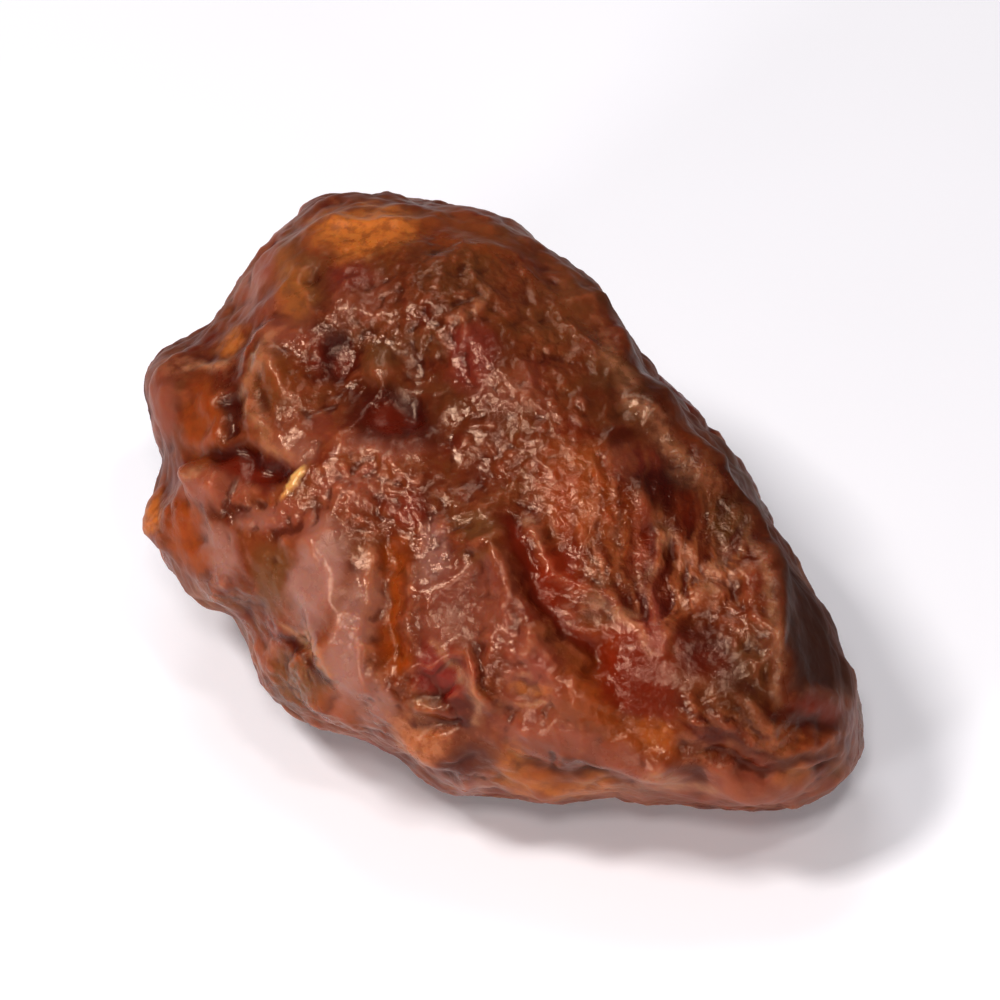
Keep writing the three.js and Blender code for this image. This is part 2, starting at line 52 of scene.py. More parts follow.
STROKES = [
 # broad relief: [width, height, points]; two points make a lump or a dent
 (3.2, -0.9, [(7.4,0.4),(8.6,-3.0),(8.4,-6.2)]), (2.6, -0.7, [(-6.9,5.6),(-4.4,4.4)]), (2.4, 0.5, [(-9.9,10.6),(-8.6,8.6)]),
 (2.2, -0.5, [(0.4,9.2),(2.6,7.0)]), (2.2, 0.55, [(-2.6,10.2),(-1.4,8.2)]), (2.4, -0.6, [(-9.6,-3.6),(-9.9,-6.0)]), (2.6, 0.5, [(-1.2,-4.0),(0.2,-7.2)]),
 # rim down the right side, with thin crests
 (1.3, 0.9, [(-0.4,13.3),(1.6,11.6),(4.2,9.0),(5.6,6.3),(7.1,4.0),(8.9,1.8),(10.6,-0.4),(11.9,-2.9),(12.5,-5.9),(12.4,-8.6),(11.6,-10.9)]),
 (0.4, 0.4, [(9.6,0.9),(10.9,-0.6),(11.95,-2.9),(12.45,-5.9),(12.3,-8.4)]),
 (0.32, 0.24, [(10.6,-1.6),(11.2,-3.6),(11.6,-5.6),(11.9,-7.4)]), (0.3, 0.2, [(9.6,-5.2),(10.4,-6.4),(11.4,-7.2),(12.0,-8.8)]),
 # long middle fold, its groove and the lip beside it
 (1.3, 0.95, [(-2.4,0.2),(-1.0,-0.8),(0.0,-2.4),(1.0,-4.4),(2.1,-6.4),(3.3,-8.2),(4.6,-9.8),(6.4,-11.0)]),
 (0.55, -0.52, [(-0.2,-0.5),(0.5,-1.5),(1.2,-3.0),(1.9,-4.6),(2.8,-6.1),(4.2,-7.0),(4.8,-8.5),(5.6,-9.8)]),
 (1.5, -0.45, [(1.9,-3.6),(3.6,-6.0),(5.2,-8.4)]),
 (0.42, 0.5, [(0.9,-0.2),(1.6,-1.6),(2.6,-3.4),(3.8,-4.3),(5.2,-4.5),(6.1,-5.3),(6.7,-6.6)]),
 # soft hollows in the upper left
 (1.3, -0.42, [(-6.0,4.6),(-4.8,4.0),(-3.6,3.6)]), (0.9, -0.32, [(-7.9,7.6),(-7.4,6.6),(-7.1,5.8)]),
 (0.8, 0.4, [(-5.6,6.3),(-5.2,5.7)]),
 # rounded lump with a groove and thin crests round it
 (1.5, 0.6, [(-10.3,6.2),(-9.8,5.2)]),
 (0.4, -0.07, [(-9.5,7.6),(-10.8,6.9),(-11.2,5.4),(-10.8,4.0),(-10.0,2.8),(-8.8,2.2)]),
 (0.36, 0.36, [(-9.9,8.1),(-11.2,7.1),(-11.7,5.6),(-11.4,4.0),(-10.7,2.8)]), (0.3, 0.24, [(-10.9,4.2),(-10.3,3.2),(-9.9,2.4)]),
 (0.34, 0.26, [(-8.6,11.0),(-8.7,9.9),(-8.4,8.9),(-8.3,8.0)]), (0.45, -0.25, [(-8.1,10.6),(-8.0,9.4),(-7.8,8.4)]),
 # smooth band under the hollows
 (1.4, 0.42, [(-8.6,2.4),(-6.2,2.9),(-4.2,2.3),(-2.2,2.2)]),
 # lobes at the left edge
 (1.2, 0.75, [(-15.4,5.4),(-15.3,4.2)]), (0.4, 0.3, [(-14.1,6.05),(-13.3,6.1),(-12.5,5.9)]),
 (0.8, -0.45, [(-14.2,5.2),(-13.7,3.6),(-14.0,2.5)]), (0.6, -0.45, [(-12.6,5.0),(-12.3,3.8),(-12.2,2.8)]), (0.9, 0.35, [(-13.6,4.4),(-13.6,3.2)]),
 (1.15, 1, [(-14.3,0.7),(-13.2,0.7),(-12.2,0.5)]), (0.5, -0.6, [(-14.8,2.3),(-13.0,2.1),(-11.6,1.9),(-10.6,1.2),(-9.9,0.4)]),
 (0.5, -0.26, [(-13.4,-0.4),(-12.0,-0.5),(-10.8,-0.1)]),
 (0.8, -0.45, [(-14.2,0.2),(-14.2,-1.4),(-13.9,-2.9)]), (0.7, 0.45, [(-15.9,-0.4),(-15.6,-1.6)]),
 # broad smooth fold at the lower left and what lies round it
 (1.45, 0.9, [(-9.6,-0.9),(-8.6,-2.2),(-8.0,-3.8),(-7.5,-5.6),(-6.9,-7.6),(-6.2,-9.6)]),
 (0.4, 0.26, [(-9.9,-2.1),(-9.8,-3.4),(-10.0,-4.8),(-10.6,-5.8)]),
 (0.3, -0.5, [(-10.4,-6.4),(-9.3,-6.6),(-8.5,-7.3),(-8.1,-8.6)]), (0.3, 0.3, [(-9.9,-7.3),(-9.2,-7.3),(-8.8,-7.9)]),
 (0.6, 0.34, [(-9.3,-7.6),(-8.9,-8.2)]), (0.7, 0.35, [(-11.0,-7.2),(-10.6,-7.8)]), (0.7, 0.35, [(-8.0,-9.4),(-7.2,-9.8)]),
 # narrow groove inside it, between two thin crests
 (0.55, -0.52, [(-5.2,-1.6),(-4.9,-3.4),(-5.0,-5.4),(-4.9,-7.0),(-4.5,-8.2)]),
 (0.34, 0.34, [(-6.5,-1.8),(-5.9,-2.9),(-5.9,-4.6),(-6.1,-6.4),(-5.8,-8.0)]), (0.32, 0.26, [(-4.2,-2.4),(-4.1,-4.4),(-4.3,-6.4),(-4.2,-7.8)]),
 # pocket with crests round its right and lower sides
 (1.0, -0.4, [(-3.1,-7.3),(-2.8,-8.3),(-2.3,-9.1)]),
 (0.34, 0.6, [(-2.2,-6.5),(-1.6,-7.3),(-1.1,-8.2),(-0.8,-9.1),(-1.3,-9.6)]), (0.28, 0.45, [(-3.8,-9.3),(-3.0,-9.5),(-2.0,-9.6)]),
 (0.4, -0.45, [(-3.8,-10.0),(-2.8,-10.1),(-1.4,-10.0)]),
 # pale band low on the front, with hollows above and below
 (1.2, 0.65, [(0.4,-10.2),(2.4,-10.5),(4.6,-11.2),(6.6,-12.0),(8.6,-12.8)]), (0.6, -0.3, [(0.3,-11.5),(1.6,-11.5),(2.8,-11.9)]),
 (0.4, -0.4, [(0.4,-12.2),(2.6,-12.1),(5.0,-12.3)]), (0.8, 0.3, [(2.0,-13.1),(4.0,-13.1)]),
 (0.9, 0.5, [(-3.6,-10.9),(-3.0,-11.5)]), (0.4, -0.5, [(-2.9,-12.6),(-2.1,-11.9),(-1.2,-11.5)]), (0.7, 0.35, [(-1.8,-12.8),(-0.8,-12.7)]),
 # small crests below the middle
 (0.26, 0.2, [(0.9,-7.9),(1.8,-7.9)]), (0.26, 0.22, [(0.8,-9.2),(2.0,-9.2)]), (0.3, 0.2, [(-0.6,-5.9),(-0.1,-6.9),(-0.5,-7.9)]),
 # hollow inside the rim: upright crests and wrinkles
 (0.28, 0.3, [(4.4,2.0),(4.7,0.6),(4.8,-1.2)]), (0.26, 0.24, [(4.2,-1.6),(4.5,-2.8),(4.2,-3.9)]), (0.26, 0.24, [(5.3,-0.8),(5.5,-2.0),(5.9,-2.9)]),
 (0.42, 0.62, [(7.6,-0.9),(7.3,-2.0),(7.0,-3.2)]), (0.32, 0.3, [(9.1,0.1),(8.7,-0.9),(8.3,-2.2),(8.0,-3.4)]), (0.3, 0.26, [(9.4,-1.2),(9.0,-2.4),(8.8,-3.4)]),
 (0.38, 0.6, [(8.3,-4.2),(9.3,-4.1),(10.5,-3.8)]), (0.28, 0.22, [(9.7,-2.6),(10.3,-3.0)]), (0.26, 0.22, [(8.4,-4.4),(7.9,-5.6),(7.4,-6.6)]),
 (0.3, 0.22, [(7.3,-3.6),(7.1,-5.0),(7.4,-6.4),(7.2,-7.8)]), (0.28, 0.2, [(6.4,0.9),(6.6,-0.3)]), (0.26, 0.2, [(3.4,-0.6),(3.6,-2.2),(3.2,-3.4)]),
 (0.26, -0.2, [(6.3,-0.4),(6.1,-2.2),(6.2,-4.0)]), (0.26, -0.2, [(7.9,-1.0),(7.6,-2.4),(7.5,-3.4)]),
  # small lumps along the lower left outline
 (0.55, 0.6, [(-13.7,-4.6),(-13.1,-5.0)]), (0.6, 0.7, [(-11.7,-6.3),(-11.3,-7.2)]), (0.6, 0.7, [(-10.6,-8.6),(-10.2,-9.2)]), (0.5, 0.6, [(-8.9,-10.2),(-8.2,-10.5)]), (0.55, 0.6, [(-6.3,-11.0),(-5.6,-11.3)]),
 (0.5, 0.6, [(-4.6,-12.3),(-4.0,-12.6)]), (0.5, -0.45, [(-12.4,-5.6),(-12.0,-6.0)]), (0.45, -0.6, [(-15.9,0.9),(-15.7,1.6)]), (0.45, -0.5, [(-5.3,-12.0),(-5.0,-12.2)]), (0.6, 0.6, [(-16.2,-0.4),(-16.0,-1.2)]), (0.45, -0.5, [(-15.6,-2.6),(-15.3,-2.9)]),
# wrinkles over the tip
 (1.4, 0.5, [(9.0,-12.9),(12.0,-12.9),(14.6,-12.1)]), (0.4, -0.4, [(7.2,-10.9),(9.4,-11.3),(11.6,-12.1),(13.6,-12.2),(15.6,-11.4)]),
 (0.3, 0.26, [(8.2,-8.5),(8.9,-9.8),(9.6,-10.9)]), (0.3, 0.26, [(9.6,-9.4),(10.6,-10.5),(12.0,-11.4)]), (0.3, 0.24, [(10.8,-9.0),(11.9,-10.0),(13.0,-11.0)]),
 (0.28, 0.24, [(12.6,-11.4),(14.0,-11.2),(15.4,-10.6)]), (0.26, 0.2, [(12.9,-12.1),(14.2,-11.7),(15.6,-11.5)]), (0.3, -0.22, [(12.8,-10.0),(14.4,-10.2),(15.8,-9.6)]),
 (0.3, 0.18, [(13.8,-8.3),(15.2,-9.0)]),
 # crests and dents at the top
 (0.32, 0.3, [(-2.2,8.1),(-1.5,8.5),(-0.7,8.9)]), (0.3, 0.26, [(-2.0,8.9),(-1.4,9.5),(-1.0,10.4)]), (0.3, -0.24, [(-2.4,8.5),(-1.6,9.0),(-0.9,9.5)]),
 (0.3, 0.2, [(2.2,5.7),(3.2,5.0),(4.2,4.0)]), (0.26, 0.18, [(1.8,4.9),(2.8,4.2),(3.8,3.3)]), (0.28, 0.2, [(-1.7,3.75),(-0.8,3.5),(0.1,3.0)]),
 (0.8, 0.35, [(-7.4,12.6),(-5.0,12.7)]), (0.8, -0.22, [(-3.4,12.0),(-2.6,11.4)]), (0.34, 0.2, [(1.2,10.8),(1.6,9.4),(1.4,8.4)]),
 (0.34, -0.25, [(-2.0,-1.2),(-1.2,-1.3),(-0.4,-1.1)]), (0.3, -0.22, [(-1.8,-2.5),(-1.0,-2.6),(-0.1,-2.4)]), (0.26, 0.2, [(-2.2,-2.0),(-1.1,-2.1),(-0.3,-1.9)]),
]
STEM_DIR, TIP_DIR = (-0.72,0.45,-0.53), (0.80,-0.60,-0.05)
SUTURE_DIRS = [STEM_DIR,(-0.55,0.15,-0.82),(-0.2,-0.12,-0.97),(0.25,-0.3,-0.92),(0.6,-0.48,-0.64),TIP_DIR]

def unit(a):
    return a/np.linalg.norm(a, axis=-1, keepdims=True)
def smooth(a, b, x):
    t = np.clip((x-a)/(b-a), 0, 1); return t*t*(3-2*t)
def gauss(x):
    return np.exp(-x*x)
def dotp(a, b):
    return np.einsum('ij,ij->i', a, b)

# gradient noise, about -1 to 1
def _u32(a): return a.astype(np.int64).astype(np.uint32)
def noise(p, seed):
    f = np.floor(p); t = p - f; i = f.astype(np.int64)
    q = t*t*t*(t*(t*6-15)+10)
    out = np.zeros(len(p))
    with np.errstate(over='ignore'):
        for dx in (0,1):
            for dy in (0,1):
                for dz in (0,1):
                    h = (_u32(i[:,0]+dx)*np.uint32(0x27d4eb2d)) ^ (_u32(i[:,1]+dy)*np.uint32(0x165667b1)) ^ (_u32(i[:,2]+dz)*np.uint32(0x9e3779b1)) ^ np.uint32((seed*0x85ebca6b) & 0xffffffff)
                    h ^= h >> np.uint32(15); h = h*np.uint32(0x2c1b3c6d)
                    h ^= h >> np.uint32(12); h = h*np.uint32(0x297a2d39)
                    h ^= h >> np.uint32(15)
                    gx = (h & np.uint32(1023))/511.5 - 1; gy = ((h >> np.uint32(10)) & np.uint32(1023))/511.5 - 1; gz = ((h >> np.uint32(20)) & np.uint32(1023))/511.5 - 1
                    dot = gx*(t[:,0]-dx) + gy*(t[:,1]-dy) + gz*(t[:,2]-dz)
                    out += np.where(dx, q[:,0], 1-q[:,0])*np.where(dy, q[:,1], 1-q[:,1])*np.where(dz, q[:,2], 1-q[:,2])*dot
    return out*1.6
def warp(p, size, seed, amount):
    return p + amount*np.stack([noise(p/size, seed), noise(p/size, seed+1), noise(p/size, seed+2)], -1)

def cells(p, seed):
    """Distance to the nearest and second nearest of points scattered one to a unit cube."""
    i = np.floor(p).astype(np.int64); f1 = np.full(len(p), 9.0); f2 = f1.copy()
    with np.errstate(over='ignore'):
        for dx in (-1,0,1):
            for dy in (-1,0,1):
                for dz in (-1,0,1):
                    c = i + np.array([dx,dy,dz])
                    h = (_u32(c[:,0])*np.uint32(0x27d4eb2d)) ^ (_u32(c[:,1])*np.uint32(0x165667b1)) ^ (_u32(c[:,2])*np.uint32(0x9e3779b1)) ^ np.uint32((seed*0x85ebca6b) & 0xffffffff)
                    h ^= h >> np.uint32(15); h = h*np.uint32(0x2c1b3c6d)
                    h ^= h >> np.uint32(12); h = h*np.uint32(0x297a2d39)
                    h ^= h >> np.uint32(15)
                    q = c + np.stack([h & np.uint32(1023), (h >> np.uint32(10)) & np.uint32(1023), (h >> np.uint32(20)) & np.uint32(1023)], -1)/1023.0
                    dd = ((p-q)**2).sum(1); near = dd < f1
                    f2 = np.where(near, f1, np.minimum(f2, dd)); f1 = np.where(near, dd, f1)
    return np.sqrt(f1), np.sqrt(f2)

# the outline as a smooth radius
KH, KL, NS = 56, 5, 720
def _ray(th):
    c, s = math.cos(th), math.sin(th); best = 0
    for a, b in zip(OUTLINE, OUTLINE[1:]+OUTLINE[:1]):
        ex, ey = b[0]-a[0], b[1]-a[1]; den = c*ey - s*ex
        if abs(den) < 1e-12: continue
        t = (a[0]*ey - a[1]*ex)/den; k = (a[0]*s - a[1]*c)/den
        if t > 0 and -1e-9 <= k <= 1+1e-9: best = max(best, t)
    return best
_R = np.array([_ray(2*math.pi*i/NS) for i in range(NS)]); _T = 2*np.pi*np.arange(NS)/NS
_D = np.exp(-(np.arange(KH+1)/46.0)**2)*np.where(np.arange(KH+1), 2, 1)
CA = np.array([np.mean(_R*np.cos(k*_T)) for k in range(KH+1)])*_D
CB = np.array([np.mean(_R*np.sin(k*_T)) for k in range(KH+1)])*_D
def outline_radius(th, kmax):
    out = np.zeros_like(th)
    for k in range(kmax+1):
        out += CA[k]*np.cos(k*th) + CB[k]*np.sin(k*th)
    return out
def to_row(u, v, w): return np.stack([u, v*SE - w*CE, v*CE + w*SE + Z0], -1)
def body(d):
    rho = np.minimum(np.hypot(d[:,0], d[:,1]), 1.0); th = np.arctan2(d[:,1], d[:,0])
    S = outline_radius(th, KH); S0 = outline_radius(th, KL)
    r = S0*rho + (S-S0)*rho**6
    u, v = r*np.cos(th), r*np.sin(th)
    w = SEAM[0]+SEAM[1]*u+SEAM[2]*v+SEAM[3]*u*u+SEAM[4]*u*v+SEAM[5]*v*v
    c = d[:,2]; w = w + np.where(c > 0, (FRONT+0.02*u-0.02*v)*(1.55*c-0.55*c**3), (BACK-0.08*u+0.04*v)*c)
    return to_row(u, v, w)
def body_normal(d):
    a = unit(np.cross(d, np.where(np.abs(d[:,2:3]) < 0.9, [[0,0,1.0]], [[1.0,0,0]]))); b = np.cross(d, a); e = 0.02
    n = unit(np.cross(body(unit(d+e*a))-body(unit(d-e*a)), body(unit(d+e*b))-body(unit(d-e*b))))
    out = to_row(d[:,0], d[:,1], d[:,2]) - np.array([0,0,Z0])
    return n*np.where(dotp(n, out) < 0, -1.0, 1.0)[:,None]
def face_point(uv):
    th = math.atan2(uv[1], uv[0]); r = math.hypot(*uv); a = np.array([th])
    S = float(outline_radius(a, KH)[0]); S0 = float(outline_radius(a, KL)[0]); lo, hi = 0.0, 1.0
    for _ in range(40):
        m = (lo+hi)/2
        if S0*m + (S-S0)*m**6 < r: lo = m
        else: hi = m
    rho = min(lo, 0.999)
    return body(np.array([[rho*math.cos(th), rho*math.sin(th), math.sqrt(1-rho*rho)]]))[0]
def along(p, pts):
    best = np.full(len(p), 1e9); share = np.zeros(len(p)); L = [np.linalg.norm(b-a) for a, b in zip(pts, pts[1:])]; tot = sum(L); acc = 0
    for a, b, l in zip(pts, pts[1:], L):
        ab = b-a; t = np.clip(((p-a)@ab)/(ab@ab), 0, 1); q = p - a - t[:,None]*ab; dd = dotp(q, q); m = dd < best
        best = np.where(m, dd, best); share = np.where(m, (acc+t*l)/tot, share); acc += l
    return np.sqrt(best), share
def face_strokes(p):
    p = warp(warp(p, 1.9, 41, 0.45), 0.8, 44, 0.16)
    out = np.zeros(len(p))
    for wd, ht, uv in STROKES:
        ht = ht*(1.1 if wd < 0.5 and uv[0][0] > 7 and uv[0][1] < -8 else 0.6 if wd < 0.5 else 1.0)
        d, t = along(p, [face_point(q) for q in uv])
        tp = 1.0
        if len(uv) > 2:
            tp = np.minimum(1, np.minimum(t, 1-t)/0.22); tp = tp*tp*(3-2*tp)
        out += np.where(d < 3.2*wd, ht*gauss(d/wd)*tp, 0)
    return out*(0.95 + 0.5*noise(p/2.3, 47))
_one = lambda d: body(unit(np.array([d], float)))[0]
STEM, TIP = _one(STEM_DIR), _one(TIP_DIR)
AX = unit(TIP-STEM); AXL = float(np.linalg.norm(TIP-STEM)); BX = unit(np.cross(AX, [0,0,1.0])); CX = np.cross(AX, BX)
def lengthwise(p):
    q = p - STEM; s = q@AX/AXL; b = q@BX - 0.2; c = q@CX - 0.4
    phi = np.arctan2(b, c) + 0.42*noise(p/8.5, 31) + 0.16*noise(p/3.4, 32)
    reach = np.minimum(1, np.hypot(b, c)/7.0); ends = smooth(0.02, 0.22, s)*(1-smooth(0.86, 1.0, s))
    f = np.abs(np.sin(4.0*phi)); g = np.abs(np.sin(9.0*phi + 2.0*noise(p/6.0, 33)))
    return ends*reach*(0.75 + 0.45*noise(p/9.0, 34))*(1.15*(f**0.75 - 0.68) + 0.4*(g**0.8 - 0.66))
def stem_scar(p):
    q = p - STEM; r = np.linalg.norm(q, axis=1); n = -AX; e1 = unit(np.cross(n, [0,0,1.0])); e2 = np.cross(n, e1)
    ang = np.arctan2(q@e2, q@e1)
    h = -1.25*gauss(r/1.35) + 0.4*gauss((r-2.3)/0.8) + 0.5*np.cos(7*ang + 1.3*noise(p/3.0, 35))*gauss((r-3.8)/2.2)
    return np.where(r < 11, h, 0)
SUTURE = [_one(d) for d in SUTURE_DIRS]
def suture(p):
    d, t = along(p, SUTURE)
    return smooth(0.05, 0.18, t)*(1-smooth(0.8, 0.97, t))*(-0.75*gauss(d/0.9) + 0.3*gauss((d-2.0)/1.1))
VIEW = np.array([0, -CE, SE])
def skin(d):
    p = body(d); n = body_normal(d); facing = n@VIEW; face = smooth(-0.15, 0.35, facing)
    q = warp(p, 5.0, 21, 1.2)
    h = face_strokes(p)*face + 0.8*noise(q/7.2, 1)*(1-0.6*face) + 0.42*(1-2.2*np.abs(noise(q/3.6, 2)))*(1-0.55*face)
    h += (lengthwise(p) + suture(p))*(1-face) + stem_scar(p)
    h *= 1 - 0.6*gauss(facing/0.2)
    away = np.hypot(p[:,0]-FOOT_AT[0], p[:,1]-FOOT_AT[1]); low = 1-smooth(3, 6, p[:,2])
    h = h*(1-0.85*low*gauss(away/6.5)) + FOOT_SAG*low*gauss(away/5)
    return p, n, face, h

# ------------------------------------------------------------------ the fine mesh
def geodesic(n):
    t = (1+5**0.5)/2
    V = unit(np.array([(-1,t,0),(1,t,0),(-1,-t,0),(1,-t,0),(0,-1,t),(0,1,t),(0,-1,-t),(0,1,-t),(t,0,-1),(t,0,1),(-t,0,-1),(-t,0,1)], float))
    F = [(0,11,5),(0,5,1),(0,1,7),(0,7,10),(0,10,11),(1,5,9),(5,11,4),(11,10,2),(10,7,6),(7,1,8),(3,9,4),(3,4,2),(3,2,6),(3,6,8),(3,8,9),(4,9,5),(2,4,11),(6,2,10),(8,6,7),(9,8,1)]
    I, J = np.meshgrid(np.arange(n+1), np.arange(n+1), indexing='ij'); keep = J <= I
    I, J = I[keep], J[keep]; at = -np.ones((n+1, n+1), int); at[I, J] = np.arange(len(I))
    i, j = np.meshgrid(np.arange(n), np.arange(n), indexing='ij'); m = j <= i; i, j = i[m], j[m]
    up = np.stack([at[i,j], at[i+1,j], at[i+1,j+1]], -1); m = j < i; i, j = i[m], j[m]
    tri = np.concatenate([up, np.stack([at[i,j], at[i+1,j+1], at[i,j+1]], -1)])
    def arc(a, b, t):
        o = np.arccos(np.clip(dotp(a, b), -1, 1)); so = np.sin(np.maximum(o, 1e-9))
        r = (np.sin((1-t)*o)/so)[:,None]*a + (np.sin(t*o)/so)[:,None]*b
        return np.where((o > 1e-9)[:,None], r, a)
    P, T = [], []
    for f in F:
        a, b, c = (np.repeat(V[k][None], len(I), 0) for k in f)
        l, r = arc(a, b, I/n), arc(a, c, I/n)
        P.append(unit(arc(l, r, np.where(I > 0, J/np.maximum(I, 1), 0)))); T.append(tri + len(T)*len(I))
    P = np.concatenate(P); T = np.concatenate(T)
    _, first, inv = np.unique(np.round(P*1e5).astype(np.int64), axis=0, return_index=True, return_inverse=True)
    return P[first], inv.reshape(-1)[T]

class Net:
    """A closed triangle mesh's neighbours, for smoothing and for growing patterns on it."""
    def __init__(self, tri, nv):
        self.tri, self.nv = tri, nv
        a = tri.reshape(-1); b = tri[:, [1,2,0]].reshape(-1)
        order = np.argsort(a*nv + b, kind='stable'); self.key = (a*nv + b)[order]; self.src = a[order]; self.dst = b[order]
        start = np.searchsorted(self.src, np.arange(nv)); self.col = np.arange(len(self.src)) - start[self.src]
        self.nb = np.repeat(np.arange(nv)[:,None], self.col.max()+1, 1); self.nb[self.src, self.col] = self.dst
        self.has = np.zeros(self.nb.shape); self.has[self.src, self.col] = 1
        self.uni = self.has/self.has.sum(1, keepdims=True)
    def mean(self, h):
        return (self.uni*h[self.nb]).sum(1) if h.ndim == 1 else np.stack([(self.uni*h[:,k][self.nb]).sum(1) for k in range(h.shape[1])], -1)
    def soften(self, h, times):
        for _ in range(times): h = 0.5*h + 0.5*self.mean(h)
        return h
    def weights(self, x, along=None, stretch=1.0):
        """Cotangent weights (rows sum to 1) and the scale that turns 'mean - value' into mm^2 times the Laplacian."""
        t = self.tri; e = [x[t[:,2]]-x[t[:,1]], x[t[:,0]]-x[t[:,2]], x[t[:,1]]-x[t[:,0]]]
        if along is not None:
            g = (along[t[:,0]] + along[t[:,1]]*np.sign(dotp(along[t[:,0]], along[t[:,1]]))[:,None] + along[t[:,2]]*np.sign(dotp(along[t[:,0]], along[t[:,2]]))[:,None])
            g = g/np.maximum(np.linalg.norm(g, axis=1), 1e-9)[:,None]
            s = stretch if np.ndim(stretch) == 0 else stretch[t].mean(1)
            e = [v - ((1-1/s)*dotp(v, g))[:,None]*g for v in e]
        area = np.maximum(np.linalg.norm(np.cross(e[0], e[1]), axis=1)/2, 1e-9)
        cot = [-dotp(e[(k+1)%3], e[(k+2)%3])/(2*area) for k in range(3)]   # angle at vertex k
        W = np.zeros(self.nb.shape)
        for k in range(3):
            a, b = t[:,(k+1)%3], t[:,(k+2)%3]
            for p, q in ((a, b), (b, a)):
                i = np.searchsorted(self.key, p*self.nv + q); np.add.at(W, (self.src[i], self.col[i]), 0.5*cot[k])
        W = np.maximum(W, 0.02)*self.has; tot = W.sum(1)
        A = np.bincount(t.reshape(-1), weights=np.repeat(area, 3), minlength=self.nv)/3
        return W/tot[:,None], A/tot
    def normals(self, x):
        t = self.tri; fn = np.cross(x[t[:,1]]-x[t[:,0]], x[t[:,2]]-x[t[:,0]])
        n = np.stack([np.bincount(t.reshape(-1), weights=np.repeat(fn[:,k], 3), minlength=self.nv) for k in range(3)], -1)
        return unit(n)

def wrinkle_field(net, W, s, wave, grow, steps, seed, x, skew=0.0):
    """Grows wrinkles of wavelength wave (mm) on the surface by a Swift-Hohenberg rule. Returns about -1 to 1."""
    kap = (2*np.pi/wave)**2*s
    h = 0.5*noise(x/(0.42*np.mean(wave)), seed) + 0.3*noise(x/(0.3*np.mean(wave)), seed+1)
    r = grow*kap*kap; dt = 0.42
    nb = net.nb
    amp = np.sqrt(np.maximum(r, 1e-9)*4/3)
    for _ in range(steps):
        a = (W*h[nb]).sum(1) - h + kap*h
        b = (W*a[nb]).sum(1) - a + kap*a
        h = h + dt*(r*(h - h*h*h) + skew*r*(h*h) - b)
        h = np.clip(h, -2, 2)
    return h

d, tri = geodesic(MESH)
net = Net(tri, len(d))
p0, n0, face, h0 = skin(d)
ring = gauss((n0@VIEW)/0.45)
h0 = h0 + 0.6*ring*(net.soften(h0, 12) - h0)
x1 = p0 + n0*h0[:,None]                          # folds
soft_n = unit(net.soften(net.normals(x1), 6))

# where the wrinkles run: along the coarse folds (the direction in which the coarse surface bends least)
smooth_n = unit(net.soften(net.normals(net.soften(x1, 10)), 6))
def bend_direction(x, n):
    t1 = unit(np.cross(n, np.where(np.abs(n[:,2:3]) < 0.9, [[0,0,1.0]], [[1.0,0,0]]))); t2 = np.cross(n, t1)
    dx = x[net.nb] - x[:,None]; dn = n[net.nb] - n[:,None]
    a = np.einsum('ijk,ik->ij', dx, t1); b = np.einsum('ijk,ik->ij', dx, t2)
    na = np.einsum('ijk,ik->ij', dn, t1); nb_ = np.einsum('ijk,ik->ij', dn, t2)
    Saa, Sab, Sbb = (a*a).sum(1), (a*b).sum(1), (b*b).sum(1); det = Saa*Sbb - Sab*Sab + 1e-12
    # rows of the shape operator by least squares
    p_, q_ = (na*a).sum(1), (na*b).sum(1); r_, s_ = (nb_*a).sum(1), (nb_*b).sum(1)
    m11 = (p_*Sbb - q_*Sab)/det; m12 = (q_*Saa - p_*Sab)/det; m21 = (r_*Sbb - s_*Sab)/det; m22 = (s_*Saa - r_*Sab)/det
    off = 0.5*(m12+m21)
    return m11, off, m22, t1, t2
m11, m12, m22, t1, t2 = bend_direction(net.soften(x1, 10), smooth_n)
# tensor in 3-D, smoothed, so that the directions agree over a few millimetres
Q = np.stack([m11[:,None]*t1[:,k:k+1]*t1 + m22[:,None]*t2[:,k:k+1]*t2 + m12[:,None]*(t1[:,k:k+1]*t2 + t2[:,k:k+1]*t1) for k in range(3)], 1)
flat = net.soften(Q.reshape(len(d), 9), 30).reshape(-1, 3, 3)
a11 = np.einsum('ij,ijk,ik->i', t1, flat, t1); a12 = np.einsum('ij,ijk,ik->i', t1, flat, t2); a22 = np.einsum('ij,ijk,ik->i', t2, flat, t2)
half = 0.5*(a11-a22); rad = np.sqrt(half**2 + a12**2) + 1e-9; ang = 0.5*np.arctan2(a12, half)      # direction of largest bending
strong = ang*0
grain = unit(-np.sin(ang)[:,None]*t1 + np.cos(ang)[:,None]*t2)                                      # along the folds
curv = 0.5*(a11+a22)

def spot(uv, r):
    q = x1 - face_point(uv); return gauss(np.linalg.norm(q, axis=1)/r)*face
def trail(uvs, r):
    return gauss(along(x1, [face_point(q) for q in uvs])[0]/r)*face
